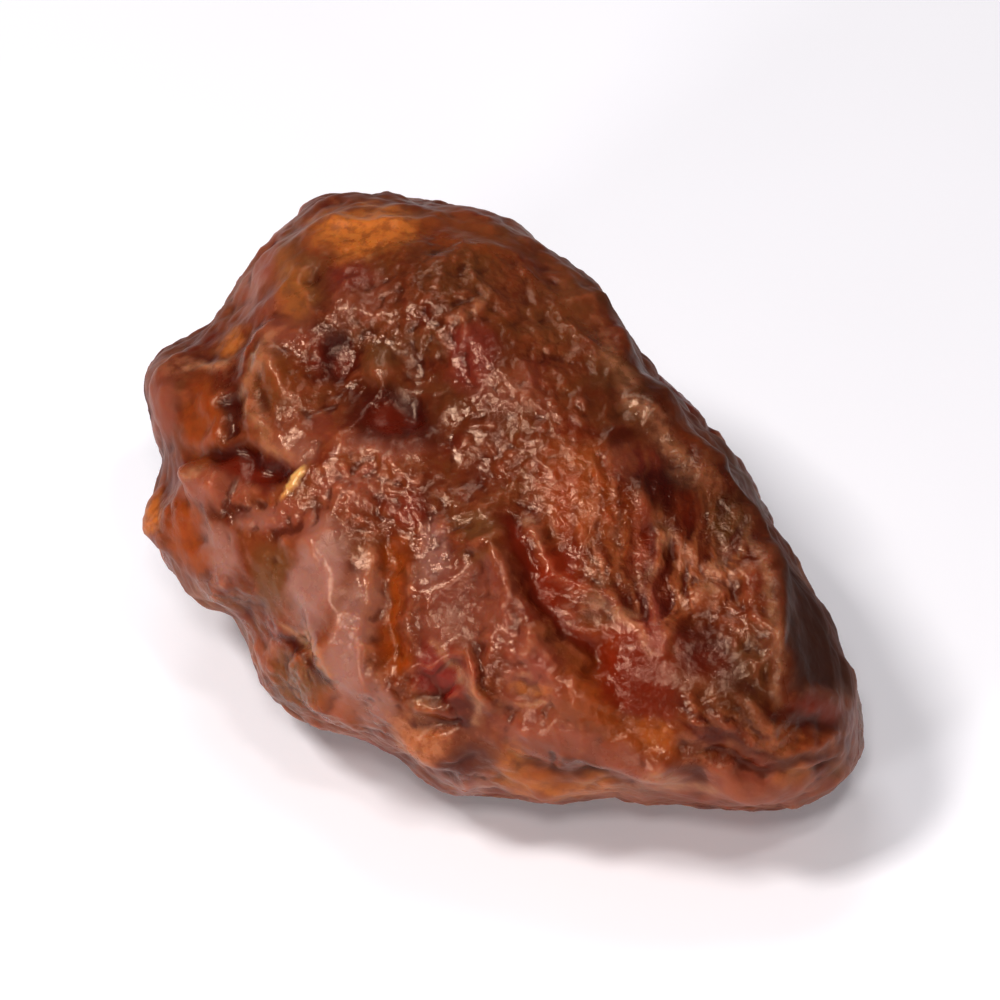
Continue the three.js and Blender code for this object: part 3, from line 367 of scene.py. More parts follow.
# marks on the face, as warped ovals (u, v, half width, half height, turn in degrees, strength)
UV = np.stack([x1[:,0], x1[:,1]*SE + (x1[:,2]-Z0)*CE], -1)
UVW = UV + np.stack([0.45*noise(x1/1.6, 81) + 0.16*noise(x1/0.55, 82), 0.45*noise(x1/1.6, 83) + 0.16*noise(x1/0.55, 84)], -1)
def region(uvs, edge=0.8):
    """1 inside a polygon on the face, fading over edge mm."""
    P = np.array(uvs, float); u, v = UVW[:,0], UVW[:,1]
    inside = np.zeros(len(u), bool); dist = np.full(len(u), 1e9)
    for (x0,y0),(xb,yb) in zip(P, np.roll(P, -1, 0)):
        c = ((y0 > v) != (yb > v)) & (u < (xb-x0)*(v-y0)/(yb-y0+1e-12)+x0); inside ^= c
        ex, ey = xb-x0, yb-y0; t = np.clip(((u-x0)*ex+(v-y0)*ey)/(ex*ex+ey*ey+1e-12), 0, 1)
        dist = np.minimum(dist, np.hypot(u-x0-t*ex, v-y0-t*ey))
    return smooth(-edge, edge, np.where(inside, dist, -dist))*face
def ovals(marks, soft=0.45):
    out = np.zeros(len(x1))
    for u, v, ru, rv, turn, k in marks:
        c, s_ = math.cos(math.radians(turn)), math.sin(math.radians(turn)); a, b = UVW[:,0]-u, UVW[:,1]-v
        r = np.hypot((a*c + b*s_)/ru, (-a*s_ + b*c)/rv); out = 1-(1-out)*(1-k*smooth(1+soft, 1-soft, r))
    return out*face
def lines(marks):
    out = np.zeros(len(x1))
    for pts, wd, k in marks:
        q = UVW; best = np.full(len(q), 1e9)
        for (x0,y0),(xb,yb) in zip(pts, pts[1:]):
            ex, ey = xb-x0, yb-y0; t = np.clip(((q[:,0]-x0)*ex+(q[:,1]-y0)*ey)/(ex*ex+ey*ey), 0, 1); best = np.minimum(best, np.hypot(q[:,0]-x0-t*ex, q[:,1]-y0-t*ey))
        out = 1-(1-out)*(1-k*gauss(best/wd))
    return out*face
def join(*v):
    out = np.zeros(len(x1))
    for k in v: out = 1-(1-out)*(1-np.clip(k, 0, 1))
    return out
back_ = 1-face
ring_ = gauss((n0@VIEW)/0.5)
q8 = warp(x1, 3.0, 86, 1.1)
broken = 0.20*noise(x1/1.1, 87) + 0.14*noise(x1/0.45, 89)
def cloud(size, seed, lo, hi): return smooth(lo, hi, noise(q8/size, seed) + broken)
gold = join(ovals([(-6.2,12.4,2.3,1.25,0,1),(-3.6,-10.8,1.1,1.0,0,0.5),(1.4,-8.6,0.9,0.3,0,0.45),(3.0,-13.1,2.6,0.6,-3,0.6),(-16.3,-0.6,0.55,1.1,0,0.85),(-12.5,7.3,0.6,0.9,-30,0.6),(13.5,-12.6,0.9,0.6,0,0.3),
    (0.6,-11.9,0.9,0.8,0,0.6),(6.8,-10.4,1.0,0.6,-30,0.5),(-9.6,9.8,0.9,1.6,15,0.35)]), 0.6*cloud(3.0, 99, 0.36, 0.62)*back_)
amber = join(ovals([(-1.8,12.2,2.2,0.9,-15,0.45),(2.4,-12.4,1.6,0.6,0,0.6),(-13.8,3.7,0.9,1.9,0,1),(-14.3,-1.6,0.85,1.8,15,1),(4.8,-8.9,0.9,1.1,-30,0.55),(3.4,0.4,1.6,2.2,0,0.55),(6.2,-10.6,2.0,0.8,-25,0.55),(-10.1,5.8,0.8,0.9,0,0.35),
    (4.2,-7.6,1.2,1.8,-35,0.4),(9.6,-5.4,1.4,0.7,0,0.35),(5.2,-1.0,1.2,1.8,0,0.4),(-7.4,-9.4,1.2,0.7,-20,0.5),(8.6,3.6,1.6,0.6,-50,0.35),(14.4,-11.0,1.2,0.7,-10,0.25),(-2.6,3.6,0.8,0.5,0,0.3)]),
    lines([([(-5.1,-2.2),(-4.9,-3.6),(-5.0,-5.6),(-4.7,-7.6)],0.5,1.0)]), 0.7*cloud(3.6, 90, 0.2, 0.55)*back_)
# Dark red pits, groove lines and creases: partly dark red skin, partly painted shade in the pits, along grooves and
# creases, under the pocket and near the right outline. Random on the hidden side.
dark_red_and_painted_shade = join(ovals([(10.2,-8.0,1.4,0.7,-20,0.5),(6.6,-8.4,1.7,1.2,-20,0.75),(6.8,4.6,0.5,0.9,-40,0.4),(10.6,0.4,0.5,0.8,-40,0.4),(-7.6,6.8,0.9,1.3,0,1),(-4.9,3.8,2.2,1.4,-15,1),(-11.2,1.5,1.9,0.75,-15,1),(-12.3,4.0,0.55,1.5,0,0.8),(-2.4,-9.4,1.1,0.3,0,0.8),(5.8,-7.5,1.2,1.0,-20,0.6),(7.2,0.7,1.4,0.9,-20,0.9),
    (9.1,-6.6,1.1,1.3,0,0.8),(6.5,-3.6,0.6,1.4,0,0.5),(-1.6,-12.0,1.1,0.8,30,0.7),(-6.9,3.9,0.8,0.5,0,0.4),(-2.9,9.0,0.7,0.4,0,0.4),(0.0,6.8,0.8,1.0,0,0.35),(13.8,-9.8,1.8,0.7,-10,0.85),
    (5.6,3.0,0.8,0.5,0,0.5),(8.4,1.2,0.8,0.6,-40,0.7),(-0.9,0.9,0.6,0.5,0,0.5),(-3.5,-0.2,0.4,1.0,0,0.4),(-12.3,-0.6,1.2,0.3,0,0.5)]),
    lines([([(0.1,-0.9),(0.7,-1.8),(1.3,-3.2),(2.2,-4.6),(3.2,-6.0),(4.2,-7.0)],0.36,1.0),([(-3.8,-10.0),(-2.6,-10.2),(-1.2,-9.9)],0.25,1.0),([(-10.3,-6.5),(-9.3,-6.6),(-8.5,-7.3),(-8.1,-8.4)],0.2,0.9),([(-11.1,-8.3),(-10.1,-9.0),(-9.2,-9.7)],0.16,0.6),([(-7.6,-9.0),(-8.2,-9.8)],0.16,0.6),([(-13.6,-3.4),(-12.8,-4.2),(-12.0,-4.4)],0.16,0.6),([(0.6,-12.1),(2.6,-12.05),(4.8,-12.25)],0.22,0.6),
    ([(9.6,-10.6),(11.4,-11.4),(13.4,-12.0),(15.2,-11.8)],0.25,0.8),([(4.4,0.2),(4.6,-1.6),(4.9,-3.4)],0.14,0.6),([(5.4,0.4),(5.3,-1.4),(5.7,-3.2)],0.14,0.6),([(3.5,-0.4),(3.5,-2.2),(3.2,-3.6)],0.14,0.5)]),
    0.75*cloud(2.6, 91, 0.22, 0.5)*back_)
olive = join(ovals([(-10.5,-3.6,0.8,1.5,0,0.9),(-9.2,-8.4,1.5,1.2,-20,0.9),(-10.6,6.0,1.0,1.3,0,0.7),(-5.6,6.6,0.8,0.8,0,0.9),(-1.2,-1.1,1.1,0.6,0,0.85),(-1.2,-2.4,0.8,0.3,0,0.5),
    (10.4,-0.8,0.9,1.3,-20,0.85),(10.5,-2.6,0.7,0.9,0,0.6),(5.2,5.9,0.9,0.9,0,0.7),(6.3,4.4,0.6,0.8,-30,0.7),(7.9,2.2,0.7,0.6,-40,0.7),(-9.4,10.2,0.9,2.2,15,0.7),(-1.0,12.2,2.2,0.8,-15,0.4),
    (11.3,-8.0,0.8,1.7,0,0.6),(-3.4,7.2,1.0,0.9,0,0.4),(4.9,-5.6,0.9,0.5,0,0.5),(-2.0,10.6,1.8,1.0,0,0.5),(2.6,8.6,1.8,1.6,-40,0.45),(15.4,-12.3,0.5,0.5,0,0.6),(-12.2,-4.6,0.8,0.5,0,0.5)]),
    0.7*cloud(3.2, 92, 0.12, 0.5)*back_)
# Pinkish areas: partly pink skin, partly a painted sheen of the bright floor on the low front.
rose_and_painted_sheen = join(ovals([(-9.9,8.3,1.5,1.4,0,0.7),(1.7,-8.4,1.5,1.2,0,0.6),(-9.2,3.4,1.4,1.0,0,0.4),(-13.2,0.7,1.6,0.9,0,1),(-15.7,4.4,0.8,1.5,0,1),(-11.4,10.4,0.6,1.8,-25,1),(-1.6,-4.8,1.9,2.3,0,0.75),(2.6,-10.9,2.4,1.0,-12,1),(6.0,-12.0,2.2,0.7,-18,0.9),(11.5,-12.9,3.2,0.9,0,0.6),
    (-1.3,6.4,0.9,1.7,0,0.5),(5.5,1.4,0.8,1.2,0,0.6),(-5.4,2.6,2.1,0.6,-5,0.8),(-9.2,-0.9,1.8,0.7,0,0.7),(7.0,-5.2,0.5,1.6,0,0.8),(-7.0,0.6,1.6,0.9,0,0.6),(1.0,-6.6,1.0,1.6,30,0.7),(-6.4,9.6,1.4,1.2,0,0.5),
    (0.6,5.0,1.4,1.0,0,0.4),(-10.8,-7.0,0.9,0.9,0,0.7),(10.0,-13.2,2.0,0.5,0,0.4)]), 0.7*cloud(3.9, 93, 0.1, 0.5)*back_)
# Greyish lilac areas, most of all on the broad fold at the lower left: partly lilac skin tone, partly a painted sheen
# of the bright surroundings.
lilac_and_painted_sheen = join(ovals([(-6.3,-5.2,0.7,2.4,-4,0.6),(-6.0,-8.8,0.9,1.2,0,0.6),(-8.3,-3.4,1.2,2.4,-12,1),(-7.0,-7.0,0.8,2.6,-8,0.95),(-12.9,-2.4,0.8,1.3,0,0.9),(-3.2,-2.4,0.8,1.3,0,0.7),(-1.6,-13.0,1.6,0.5,0,0.6),(-5.4,-9.6,0.6,1.0,-10,0.6),(-11.2,-0.8,1.0,0.6,0,0.5),
    (-9.4,2.2,0.8,0.6,0,0.4),(-11.6,9.6,0.4,1.0,-20,0.6)]), 0.6*cloud(3.4, 94, 0.25, 0.6)*back_)
wine = join(ovals([(-1.3,6.6,1.1,1.6,0,0.7),(8.8,-6.6,1.0,1.4,0,0.6),(-2.7,-8.0,1.2,1.5,20,1.0),(6.6,-5.6,0.7,1.4,0,0.6),(-4.2,-0.4,0.7,0.8,0,0.5),(-10.6,1.2,0.8,0.7,0,0.7),(-6.9,10.4,0.9,0.8,0,0.5),(6.7,1.8,0.9,0.7,0,0.6),
    (2.0,-7.4,0.8,0.8,0,0.4),(-8.4,7.0,0.6,0.8,0,0.4)]), 0.6*cloud(2.8, 88, 0.2, 0.55)*back_)
# Tan crest lines, a tan band along the rim and tan patches: partly tan skin, partly painted highlight along thin
# crests.
tan = join(lines([([(-10.1,7.8),(-11.5,6.0),(-11.3,4.2),(-10.75,2.9),(-9.7,2.1)],0.26,0.9),([(4.5,8.0),(5.5,6.0),(6.2,4.4),(8.0,2.2),(9.5,0.9)],0.42,0.55),
    ([(-6.2,-1.6),(-5.9,-2.8),(-6.0,-4.6),(-5.9,-6.4),(-5.2,-8.6)],0.26,0.8),([(3.9,-4.8),(5.3,-5.0),(6.2,-5.7),(6.6,-6.9)],0.2,0.85),
    ([(-14.4,6.1),(-13.2,6.0),(-12.4,6.2)],0.22,0.8),([(-10.0,-5.9),(-9.0,-6.0),(-8.1,-6.8),(-7.8,-8.0)],0.22,0.7),([(-2.2,8.2),(-1.2,9.0),(-0.8,9.9)],0.2,0.6),([(0.9,-0.6),(1.5,-1.6),(2.6,-3.2),(3.6,-4.3)],0.2,0.6),
    ([(-4.0,-1.9),(-3.9,-3.4),(-4.0,-5.6),(-3.8,-6.6)],0.2,0.5),([(4.0,0.8),(4.2,-1.2),(4.1,-3.2)],0.13,0.5),([(5.0,1.0),(5.1,-0.9),(5.4,-2.8)],0.13,0.5),([(6.2,0.2),(6.1,-2.0),(6.4,-4.0)],0.13,0.4)]),
    region([(-5.3,-9.7),(-1.9,-10.2),(-3.6,-12.6)], 0.3), ovals([(-11.0,-7.2,0.8,0.7,0,0.5),(-15.0,6.4,0.9,0.45,0,0.6),(-13.4,-4.2,0.9,0.6,0,0.4),(6.9,-12.9,0.8,0.35,0,0.6),(10.2,-3.0,0.5,1.0,0,0.4)]))
# Darker right flank beyond the rim and a dark band along the top right edge: painted shade on the side turned from the
# light. On the hidden side, random darker patches.
dark_tone_and_painted_shade = join(region([(11.9,-0.4),(12.5,-2.5),(12.95,-4.6),(13.0,-7.4),(13.6,-8.9),(14.8,-8.7),(16.4,-9.2),(17.5,-7.0),(15.5,-3.0),(13.2,0.0)], 0.8),
    lines([([(2.2,12.3),(4.9,10.0),(6.4,7.8),(7.8,5.6),(10.3,3.0),(12.3,-0.3)],0.5,0.8)]), 0.35*cloud(6.0, 95, 0.0, 0.5)*back_)
glossy = join(ovals([(8.2,-2.6,2.6,4.4,-8,1),(5.6,-0.6,1.6,3.0,0,0.7),(11.0,-10.4,2.6,1.1,-25,0.7),(14.2,-11.4,1.6,0.7,0,0.8)]), 0.5*cloud(4.2, 96, 0.0, 0.5)*back_)
edge_ = ovals([(-12.8,-4.0,1.1,0.9,0,0.8),(-11.2,-6.4,0.9,1.3,0,0.8),(-9.7,-9.0,1.5,1.0,-30,1),(-6.8,-10.4,1.7,0.8,-15,0.8),(-4.4,-11.9,1.0,0.9,0,0.7),(-1.0,-12.5,1.5,0.7,0,0.7),(5.6,-13.3,1.6,0.6,0,0.5),(-15.4,-0.9,0.8,1.2,0,0.6)])
busy = join(edge_, 0.3*face*(1-ring_), ovals([(4.4,-6.6,2.2,2.4,30,0.7),(2.4,1.8,2.6,3.0,0,0.7),(0.4,-5.6,2.0,2.6,0,0.5),(5.4,-9.4,2.4,1.6,-30,0.6),(-2.2,9.2,2.8,2.4,0,1),(-6.6,9.0,1.8,1.6,0,0.6),(0.6,5.2,2.2,1.8,0,0.8),(-6.4,0.2,2.4,1.6,0,0.9),(-10.6,-0.6,1.8,1.0,0,0.8),(-3.0,-1.6,1.4,1.4,0,0.6),(9.0,-3.0,2.6,3.6,0,0.8),
    (-9.5,-7.6,1.9,1.7,0,1),(-4.6,-8.8,1.0,0.8,0,0.8),(11.6,-10.4,2.4,1.0,-20,0.7),(2.4,7.2,1.6,1.2,0,0.6),(-9.4,5.0,1.4,1.2,0,0.5),(1.0,-8.6,1.4,1.2,0,0.5)]), 0.8*cloud(3.4, 97, -0.15, 0.35)*back_)
calm = np.clip(join(dark_tone_and_painted_shade*face, 0.9*trail([(1.8,12.2),(4.4,9.6),(6.2,6.6),(8.0,4.0),(10.0,1.6)], 1.0), ovals([(-13.8,3.6,0.9,1.8,0,1),(-14.2,-1.6,0.8,1.6,10,0.9),(-6.2,12.4,2.0,1.0,0,0.2),(-4.9,3.9,1.3,0.9,0,0.8),(-7.6,6.8,0.7,1.0,0,0.8),(-5.0,-4.9,0.5,2.6,0,0.8),(-2.8,-8.0,1.1,1.4,20,1),(1.3,-8.6,0.9,0.6,0,0.9),(4.6,-5.2,0.8,0.7,0,0.9),(-10.4,5.4,1.2,1.4,0,0.5),(-11.0,4.5,0.5,0.9,0,0.9),(-8.0,-4.0,1.3,2.5,-8,1),(-6.7,-7.6,0.7,1.8,-10,0.8),(-1.6,-4.8,1.4,1.8,0,0.8),(3.8,-11.0,2.8,0.7,-18,0.8),(10.6,-13.1,2.8,0.7,0,0.9),(-12.9,0.9,1.3,0.7,0,0.9),
    (-15.5,4.4,0.8,1.2,0,0.9),(-11.0,10.4,0.9,1.8,-20,0.8),(-5.0,2.5,2.2,0.5,-5,0.8),(-10.6,-4.3,0.8,1.4,0,0.5),(8.2,-6.8,1.1,1.2,0,0.6),(6.7,-8.0,1.3,1.0,-20,0.55),(8.8,3.2,2.4,0.7,-50,0.6)]), 0.8*cloud(3.8, 98, 0.1, 0.5)*back_), 0, 1)
# Darker ovals, mostly over the top, along the right side and low on the front: partly a darker skin tone, partly
# painted shade where the fruit turns from the light. Random on the hidden side.
darker_tone_and_painted_shade = join(ovals([(6.4,4.2,1.8,2.2,-40,0.6),(10.2,0.2,1.8,1.8,-40,0.6),(10.4,-8.2,2.0,1.8,0,0.5),(-4.2,8.2,5.0,3.6,0,0.55),(-1.6,4.2,2.6,1.6,0,0.5),(9.8,0.8,2.8,2.6,-40,0.8),(6.2,4.8,2.2,2.4,-40,0.7),(2.6,8.0,2.4,2.6,-30,0.15),(-2.0,-4.2,1.6,2.0,0,0.3),(2.6,-11.9,2.8,1.1,-8,0.5),(6.2,-8.0,1.7,1.3,-20,0.45),(10.6,-7.0,2.0,2.6,0,0.45),(-14.4,4.6,1.6,2.2,0,0.35),(-10.2,4.2,1.8,2.0,0,0.25),
    (6.2,0.2,1.4,1.8,0,0.3)], 0.6), 0.4*cloud(7.0, 141, -0.1, 0.5)*back_)
ember = join(ovals([(6.2,-8.0,1.8,1.3,-20,0.75),(2.6,-3.4,1.0,1.3,30,0.85)]), lines([([(0.3,-1.2),(0.9,-2.2),(1.5,-3.4),(2.6,-4.8),(3.6,-6.1),(4.6,-7.2),(5.4,-8.6)],0.5,0.6),([(2.9,0.9),(3.1,-0.9),(3.3,-2.4)],0.5,0.5)]), lines([([(4.7,-7.2),(5.3,-8.4),(6.3,-9.2),(7.4,-9.6)],0.5,0.55)]), ovals([(5.6,-7.0,1.1,1.3,-20,0.8),(7.0,-7.9,0.9,0.8,-20,0.5),(6.4,-1.6,0.5,1.4,0,0.6),(8.6,-0.4,0.5,1.0,10,0.5),
    (-5.0,3.6,1.2,0.6,-15,0.5),(-11.6,1.3,1.2,0.4,-10,0.6),(14.4,-9.4,1.4,0.5,-10,0.6),(-7.2,6.4,0.5,0.7,0,0.5),(9.4,-7.6,0.7,0.8,0,0.4)]), 0.5*cloud(2.9, 142, 0.25, 0.55)*back_)
# Pale thin crest lines and small pale spots: partly paler crests, partly painted highlights where glints fall.
pale_and_painted_glint = join(lines([([(3.9,-4.5),(5.2,-4.8),(6.1,-5.6),(6.5,-6.8)],0.13,0.5),([(10.9,-0.8),(11.7,-2.2),(12.3,-4.4),(12.55,-6.6),(12.4,-8.8)],0.24,0.5),([(-10.4,7.7),(-11.7,6.2),(-11.8,4.8),(-11.3,3.2),(-10.2,2.2)],0.2,0.6),([(-14.5,6.1),(-13.3,6.05),(-12.4,6.3)],0.18,0.9),
    ([(-10.1,-5.9),(-9.0,-6.0),(-8.2,-6.8),(-7.9,-8.0)],0.2,0.7),([(-2.8,-6.6),(-2.0,-7.6),(-1.3,-8.7),(-0.9,-9.8)],0.2,0.6),([(5.0,6.9),(6.2,4.5),(7.8,2.2),(8.9,1.0)],0.4,0.4),([(6.8,-12.4),(8.0,-12.9),(9.6,-13.1)],0.3,0.6)]),
    ovals([(1.4,-9.3,0.5,0.12,0,0.6),(1.4,-7.95,0.4,0.12,0,0.5),(7.4,-1.7,0.26,0.5,-20,0.6),(9.4,-4.05,0.7,0.2,5,0.7),(7.0,-3.2,0.26,0.36,0,0.5),(9.7,-2.9,0.45,0.2,20,0.5),(1.2,-0.9,0.28,0.26,0,0.6),(-0.9,9.3,0.5,0.2,50,0.5),(-14.3,1.35,0.45,0.25,20,0.8),(-3.4,-9.5,0.8,0.16,0,0.4)]))

# a dry bloom round the widest part of the fruit
bloom = (1-0.35*edge_)*smooth(0.76, 0.95, np.hypot(d[:,0], d[:,1]))*(0.7 + 0.3*smooth(-0.3, 0.3, noise(x1/4.2, 171)))

# a straw-coloured fleck stuck to the skin, 1.8 mm long
fa, fb = (UV[:,0]+9.44)*0.65+(UV[:,1]-0.78)*0.76, (UV[:,0]+9.44)*0.76-(UV[:,1]-0.78)*0.65
fleck = smooth(1.25, 0.8, np.hypot(fa/0.88, (fb + 0.06*np.sin(3*fa))/(0.18 + 0.05*fa)))*face

# ------------------------------------------------------------------ wrinkles as real geometry
patch = noise(x1/5.5, 61)
W1, s1 = net.weights(net.soften(x1, 2), grain, 1.0 + 0.9*smooth(0.0, 0.10, rad))
w1 = wrinkle_field(net, W1, s1, 1.25 + 0.25*noise(x1/7.0, 62), 0.55, 190, 63, x1)
W2, s2 = net.weights(net.soften(x1, 2), grain, 1.5)
w2 = wrinkle_field(net, W2, s2, 0.74 + 0.12*noise(x1/4.0, 64), 0.6, 60, 65, x1)
crest = lambda h, k: (np.exp(k*h) - math.exp(-k))/(math.exp(k) - math.exp(-k))*2 - 1
rest = 1-0.75*calm
amp1 = 0.04*(0.3 + 0.8*smooth(-0.4, 0.6, patch))*rest*(1+1.2*back_)
amp2 = 0.028*(0.35 + 0.9*smooth(-0.35, 0.5, noise(x1/3.3, 66)))*rest*(0.5+busy)
fine = amp1*crest(np.clip(w1, -1.3, 1.3), 0.9) + amp2*crest(np.clip(w2, -1.3, 1.3), 1.1)
q = warp(x1, 2.4, 71, 0.55)
fine += 0.055*(1-2.2*np.abs(noise(q/1.7, 72)))*rest + (0.02+0.05*busy)*noise(warp(x1, 0.9, 75, 0.2)/0.75, 73)*rest + 0.03*busy*noise(x1/0.42, 74)
# thin crests in a net, as on crumpled film, longer along the folds
def crumple(size, seed, stretch, thin, jitter):
    g = warp(warp(x1, 3*size, seed+1, 0.5*size*jitter), 0.9*size, seed+5, 0.22*size*jitter)
    g = g - (1-1/stretch)*dotp(g, grain_l)[:,None]*grain_l
    f1, f2 = cells(g/size, seed)
    return np.exp(-(f2-f1)/thin) - 0.5 + 0.35*(0.5-f1)
grain_l = unit(net.soften(grain*np.sign(dotp(grain, np.array([[0.35, -0.6, -0.7]])))[:,None], 40))
some = smooth(-0.5, 0.4, noise(x1/4.5, 67))
fine += 0.045*(0.3+0.7*some)*rest*(1+0.7*back_)*crumple(1.7, 101, 1.6, 0.16, 1.0)
fine += 0.012*(0.25+0.9*busy)*rest*crumple(0.85, 111, 1.3, 0.2, 1.0)
# rounded grains where the skin is rough
f1, _ = cells(warp(warp(x1, 2.2, 121, 0.3), 0.7, 125, 0.12)/0.74, 120)
fine += 0.095*(0.15+0.95*busy)*rest*(np.clip(1-(f1/0.62)**2, 0, 1) - 0.3)
# wrinkles that fan upwards from the low end of the hollow inside the rim
tipw = ovals([(12.2,-10.6,4.4,1.7,-20,1)], 0.4)
ta, tb = (UVW[:,0]-9)*0.83-(UVW[:,1]+9)*0.56, (UVW[:,0]-9)*0.56+(UVW[:,1]+9)*0.83
tq = np.stack([ta*0.34, tb*1.25 + 0.35*noise(x1/1.5, 161), 0*ta], -1)
tips = 0.7*(0.42-np.abs(noise(tq, 162))) + 0.35*(0.42-np.abs(noise(tq*[1.6,1.9,1], 163)))
fan = ovals([(7.6,-1.6,4.0,4.2,0,1),(4.2,-0.4,1.8,2.6,0,1)], 0.3)
fr_, fphi = np.hypot(UVW[:,0]-7.2, UVW[:,1]+10.5), np.arctan2(UVW[:,0]-7.2, UVW[:,1]+10.5)
fq = np.stack([fphi*10.5 + 0.3*noise(x1/1.6, 131), fr_*0.26, 0*fr_], -1)
streak = 0.75*(0.42-np.abs(noise(fq, 132))) + 0.35*(0.42-np.abs(noise(fq*[1.9,1.5,1], 133)))
fine = fine*(1-0.6*fan) + fan*0.20*streak
fine = fine*(1-0.5*tipw) + tipw*0.16*tips
fine = fine*(1-0.6*dark_red_and_painted_shade*face)*(1-0.5*ring*(1-0.9*edge_)) + ring*(0.32*(np.abs(noise(warp(x1, 2.4, 151, 0.7)/2.1, 152)) - 0.25) + 0.13*(np.abs(noise(warp(x1, 1.2, 155, 0.3)/1.0, 156)) - 0.25))
fine = fine*(1-0.8*fleck) + 0.12*fleck
foot = smooth(0.3, 1.6, x1[:,2])
x2 = x1 + soft_n*(fine*foot)[:,None]

def press(x):
    z = x[:,2]; x = x.copy()
    x[:,2] = np.where(z < -FOOT, 0, np.where(z > FOOT, z, (z+FOOT)**2/(4*FOOT)))
    return x
xf = press(x2) - SHIFT

# ------------------------------------------------------------------ what the material needs to know at each point
def relief(x, times):
    """Height over the surroundings, mm: positive on crests."""
    n = net.normals(net.soften(x, 3)); return dotp(x - net.soften(x, times), n)
r_small = relief(xf, 8)
r_big = relief(xf, 60)
attrs = {
    'crest': np.clip(0.5 + r_small/0.16, 0, 1), 'busy': join(busy*(1-0.3*dark_red_and_painted_shade), 0.8*ovals([(-7.2,6.5,1.2,1.4,0,1),(-6.0,5.0,1.0,1.0,0,0.8)])), 'hollow': np.clip(0.5 + r_big/0.9, 0, 1), 'glossy': np.clip(glossy, 0, 1), 'calm': calm, 'amber': amber, 'dark_red_and_painted_shade': dark_red_and_painted_shade,
    'gold': gold, 'olive': olive, 'rose_and_painted_sheen': rose_and_painted_sheen, 'lilac_and_painted_sheen': lilac_and_painted_sheen, 'wine': wine, 'tan': tan, 'dark_tone_and_painted_shade': dark_tone_and_painted_shade, 'darker_tone_and_painted_shade': darker_tone_and_painted_shade, 'ember': ember, 'pale_and_painted_glint': pale_and_painted_glint, 'fan': np.clip(join(fan, 0.8*ovals([(11.0,-10.2,3.0,1.2,-20,1)])), 0, 1), 'streak': np.clip(0.5 + fan*(streak-0.2)*1.6 + 0.7*tipw*(tips-0.18)*1.6, 0, 1),
    'fleck': fleck, 'straw': smooth(-0.7, 0.5, fa + 0.25*noise(x1/0.4, 172)), 'bloom': bloom, 'scar': gauss(np.linalg.norm(x1-STEM, axis=1)/1.5),
}
me = bpy.data.meshes.new('prune_flesh')
me.from_pydata((xf/1000).tolist(), [], tri.tolist())
me.update()
me.shade_smooth()
for k, v in attrs.items():
    a = me.attributes.new(k, 'FLOAT', 'POINT'); a.data.foreach_set('value', v.astype(np.float32))
prune = bpy.data.objects.new('prune_fruit', me)
bpy.context.scene.collection.objects.link(prune)
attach(prune, 'root')
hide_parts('prune')

# ------------------------------------------------------------------ material
def lin(r, g, b):
    f = lambda c: (c/255/12.92) if c/255 <= 0.04045 else ((c/255+0.055)/1.055)**2.4
    return (f(r), f(g), f(b), 1.0)
mat = bpy.data.materials.new('prune_skin'); mat.use_nodes = True
nt = mat.node_tree; nt.nodes.clear()
def node(kind, **props):
    n = nt.nodes.new(kind)
    for k, v in props.items(): setattr(n, k, v)
    return n
def link(a, b): nt.links.new(a, b)
def attr(name):
    n = node('ShaderNodeAttribute', attribute_name=name, attribute_type='GEOMETRY'); return n.outputs['Fac']
def put(sock, v):
    if isinstance(v, bpy.types.NodeSocket): link(v, sock)
    else: sock.default_value = v
def math_(op, a, b=None, c=None, clamp=False):
    n = node('ShaderNodeMath', operation=op, use_clamp=clamp)
    put(n.inputs[0], a)
    if b is not None: put(n.inputs[1], b)
    if c is not None: put(n.inputs[2], c)
    return n.outputs[0]
def ramp(v, lo, hi, a=0.0, b=1.0):
    n = node('ShaderNodeMapRange', interpolation_type='SMOOTHSTEP'); put(n.inputs['Value'], v)
    n.inputs['From Min'].default_value = lo; n.inputs['From Max'].default_value = hi; n.inputs['To Min'].default_value = a; n.inputs['To Max'].default_value = b
    return n.outputs['Result']
def mix(f, a, b, mode='MIX'):
    n = node('ShaderNodeMix', data_type='RGBA', blend_type=mode); put(n.inputs['Factor'], f); put(n.inputs['A'], a); put(n.inputs['B'], b)
    return n.outputs['Result']
coord = node('ShaderNodeTexCoord').outputs['Object']
def noise_tex(scale_mm, detail=3.0, rough=0.5, dist=0.0, lac=2.0):
    n = node('ShaderNodeTexNoise'); link(coord, n.inputs['Vector']); n.inputs['Scale'].default_value = 1000.0/scale_mm
    n.inputs['Detail'].default_value = detail; n.inputs['Roughness'].default_value = rough; n.inputs['Distortion'].default_value = dist; n.inputs['Lacunarity'].default_value = lac
    return n.outputs['Fac']
crest_, hollow_, gloss_, calm_, busy_, gold_, amber_, dark_red_and_painted_shade_, olive_, rose_and_painted_sheen_, lilac_and_painted_sheen_, wine_, tan_and_painted_crest_highlight_, dark_tone_and_painted_shade_ = (attr(k) for k in ('crest','hollow','glossy','calm','busy','gold','amber','dark_red_and_painted_shade','olive','rose_and_painted_sheen','lilac_and_painted_sheen','wine','tan','dark_tone_and_painted_shade'))
big, mid, small = noise_tex(6.0, 2.0), noise_tex(1.9, 3.0, 0.55, 0.4), noise_tex(0.5, 3.0, 0.6)
col = mix(ramp(big, 0.40, 0.62), lin(106,44,18), lin(126,62,30))
col = mix(ramp(mid, 0.52, 0.64, 0.0, 0.6), col, lin(112,58,24))
col = mix(ramp(mid, 0.46, 0.34, 0.0, 0.6), col, lin(104,30,14))
col = mix(ramp(small, 0.50, 0.72, 0.0, 0.4), col, lin(150,86,54))
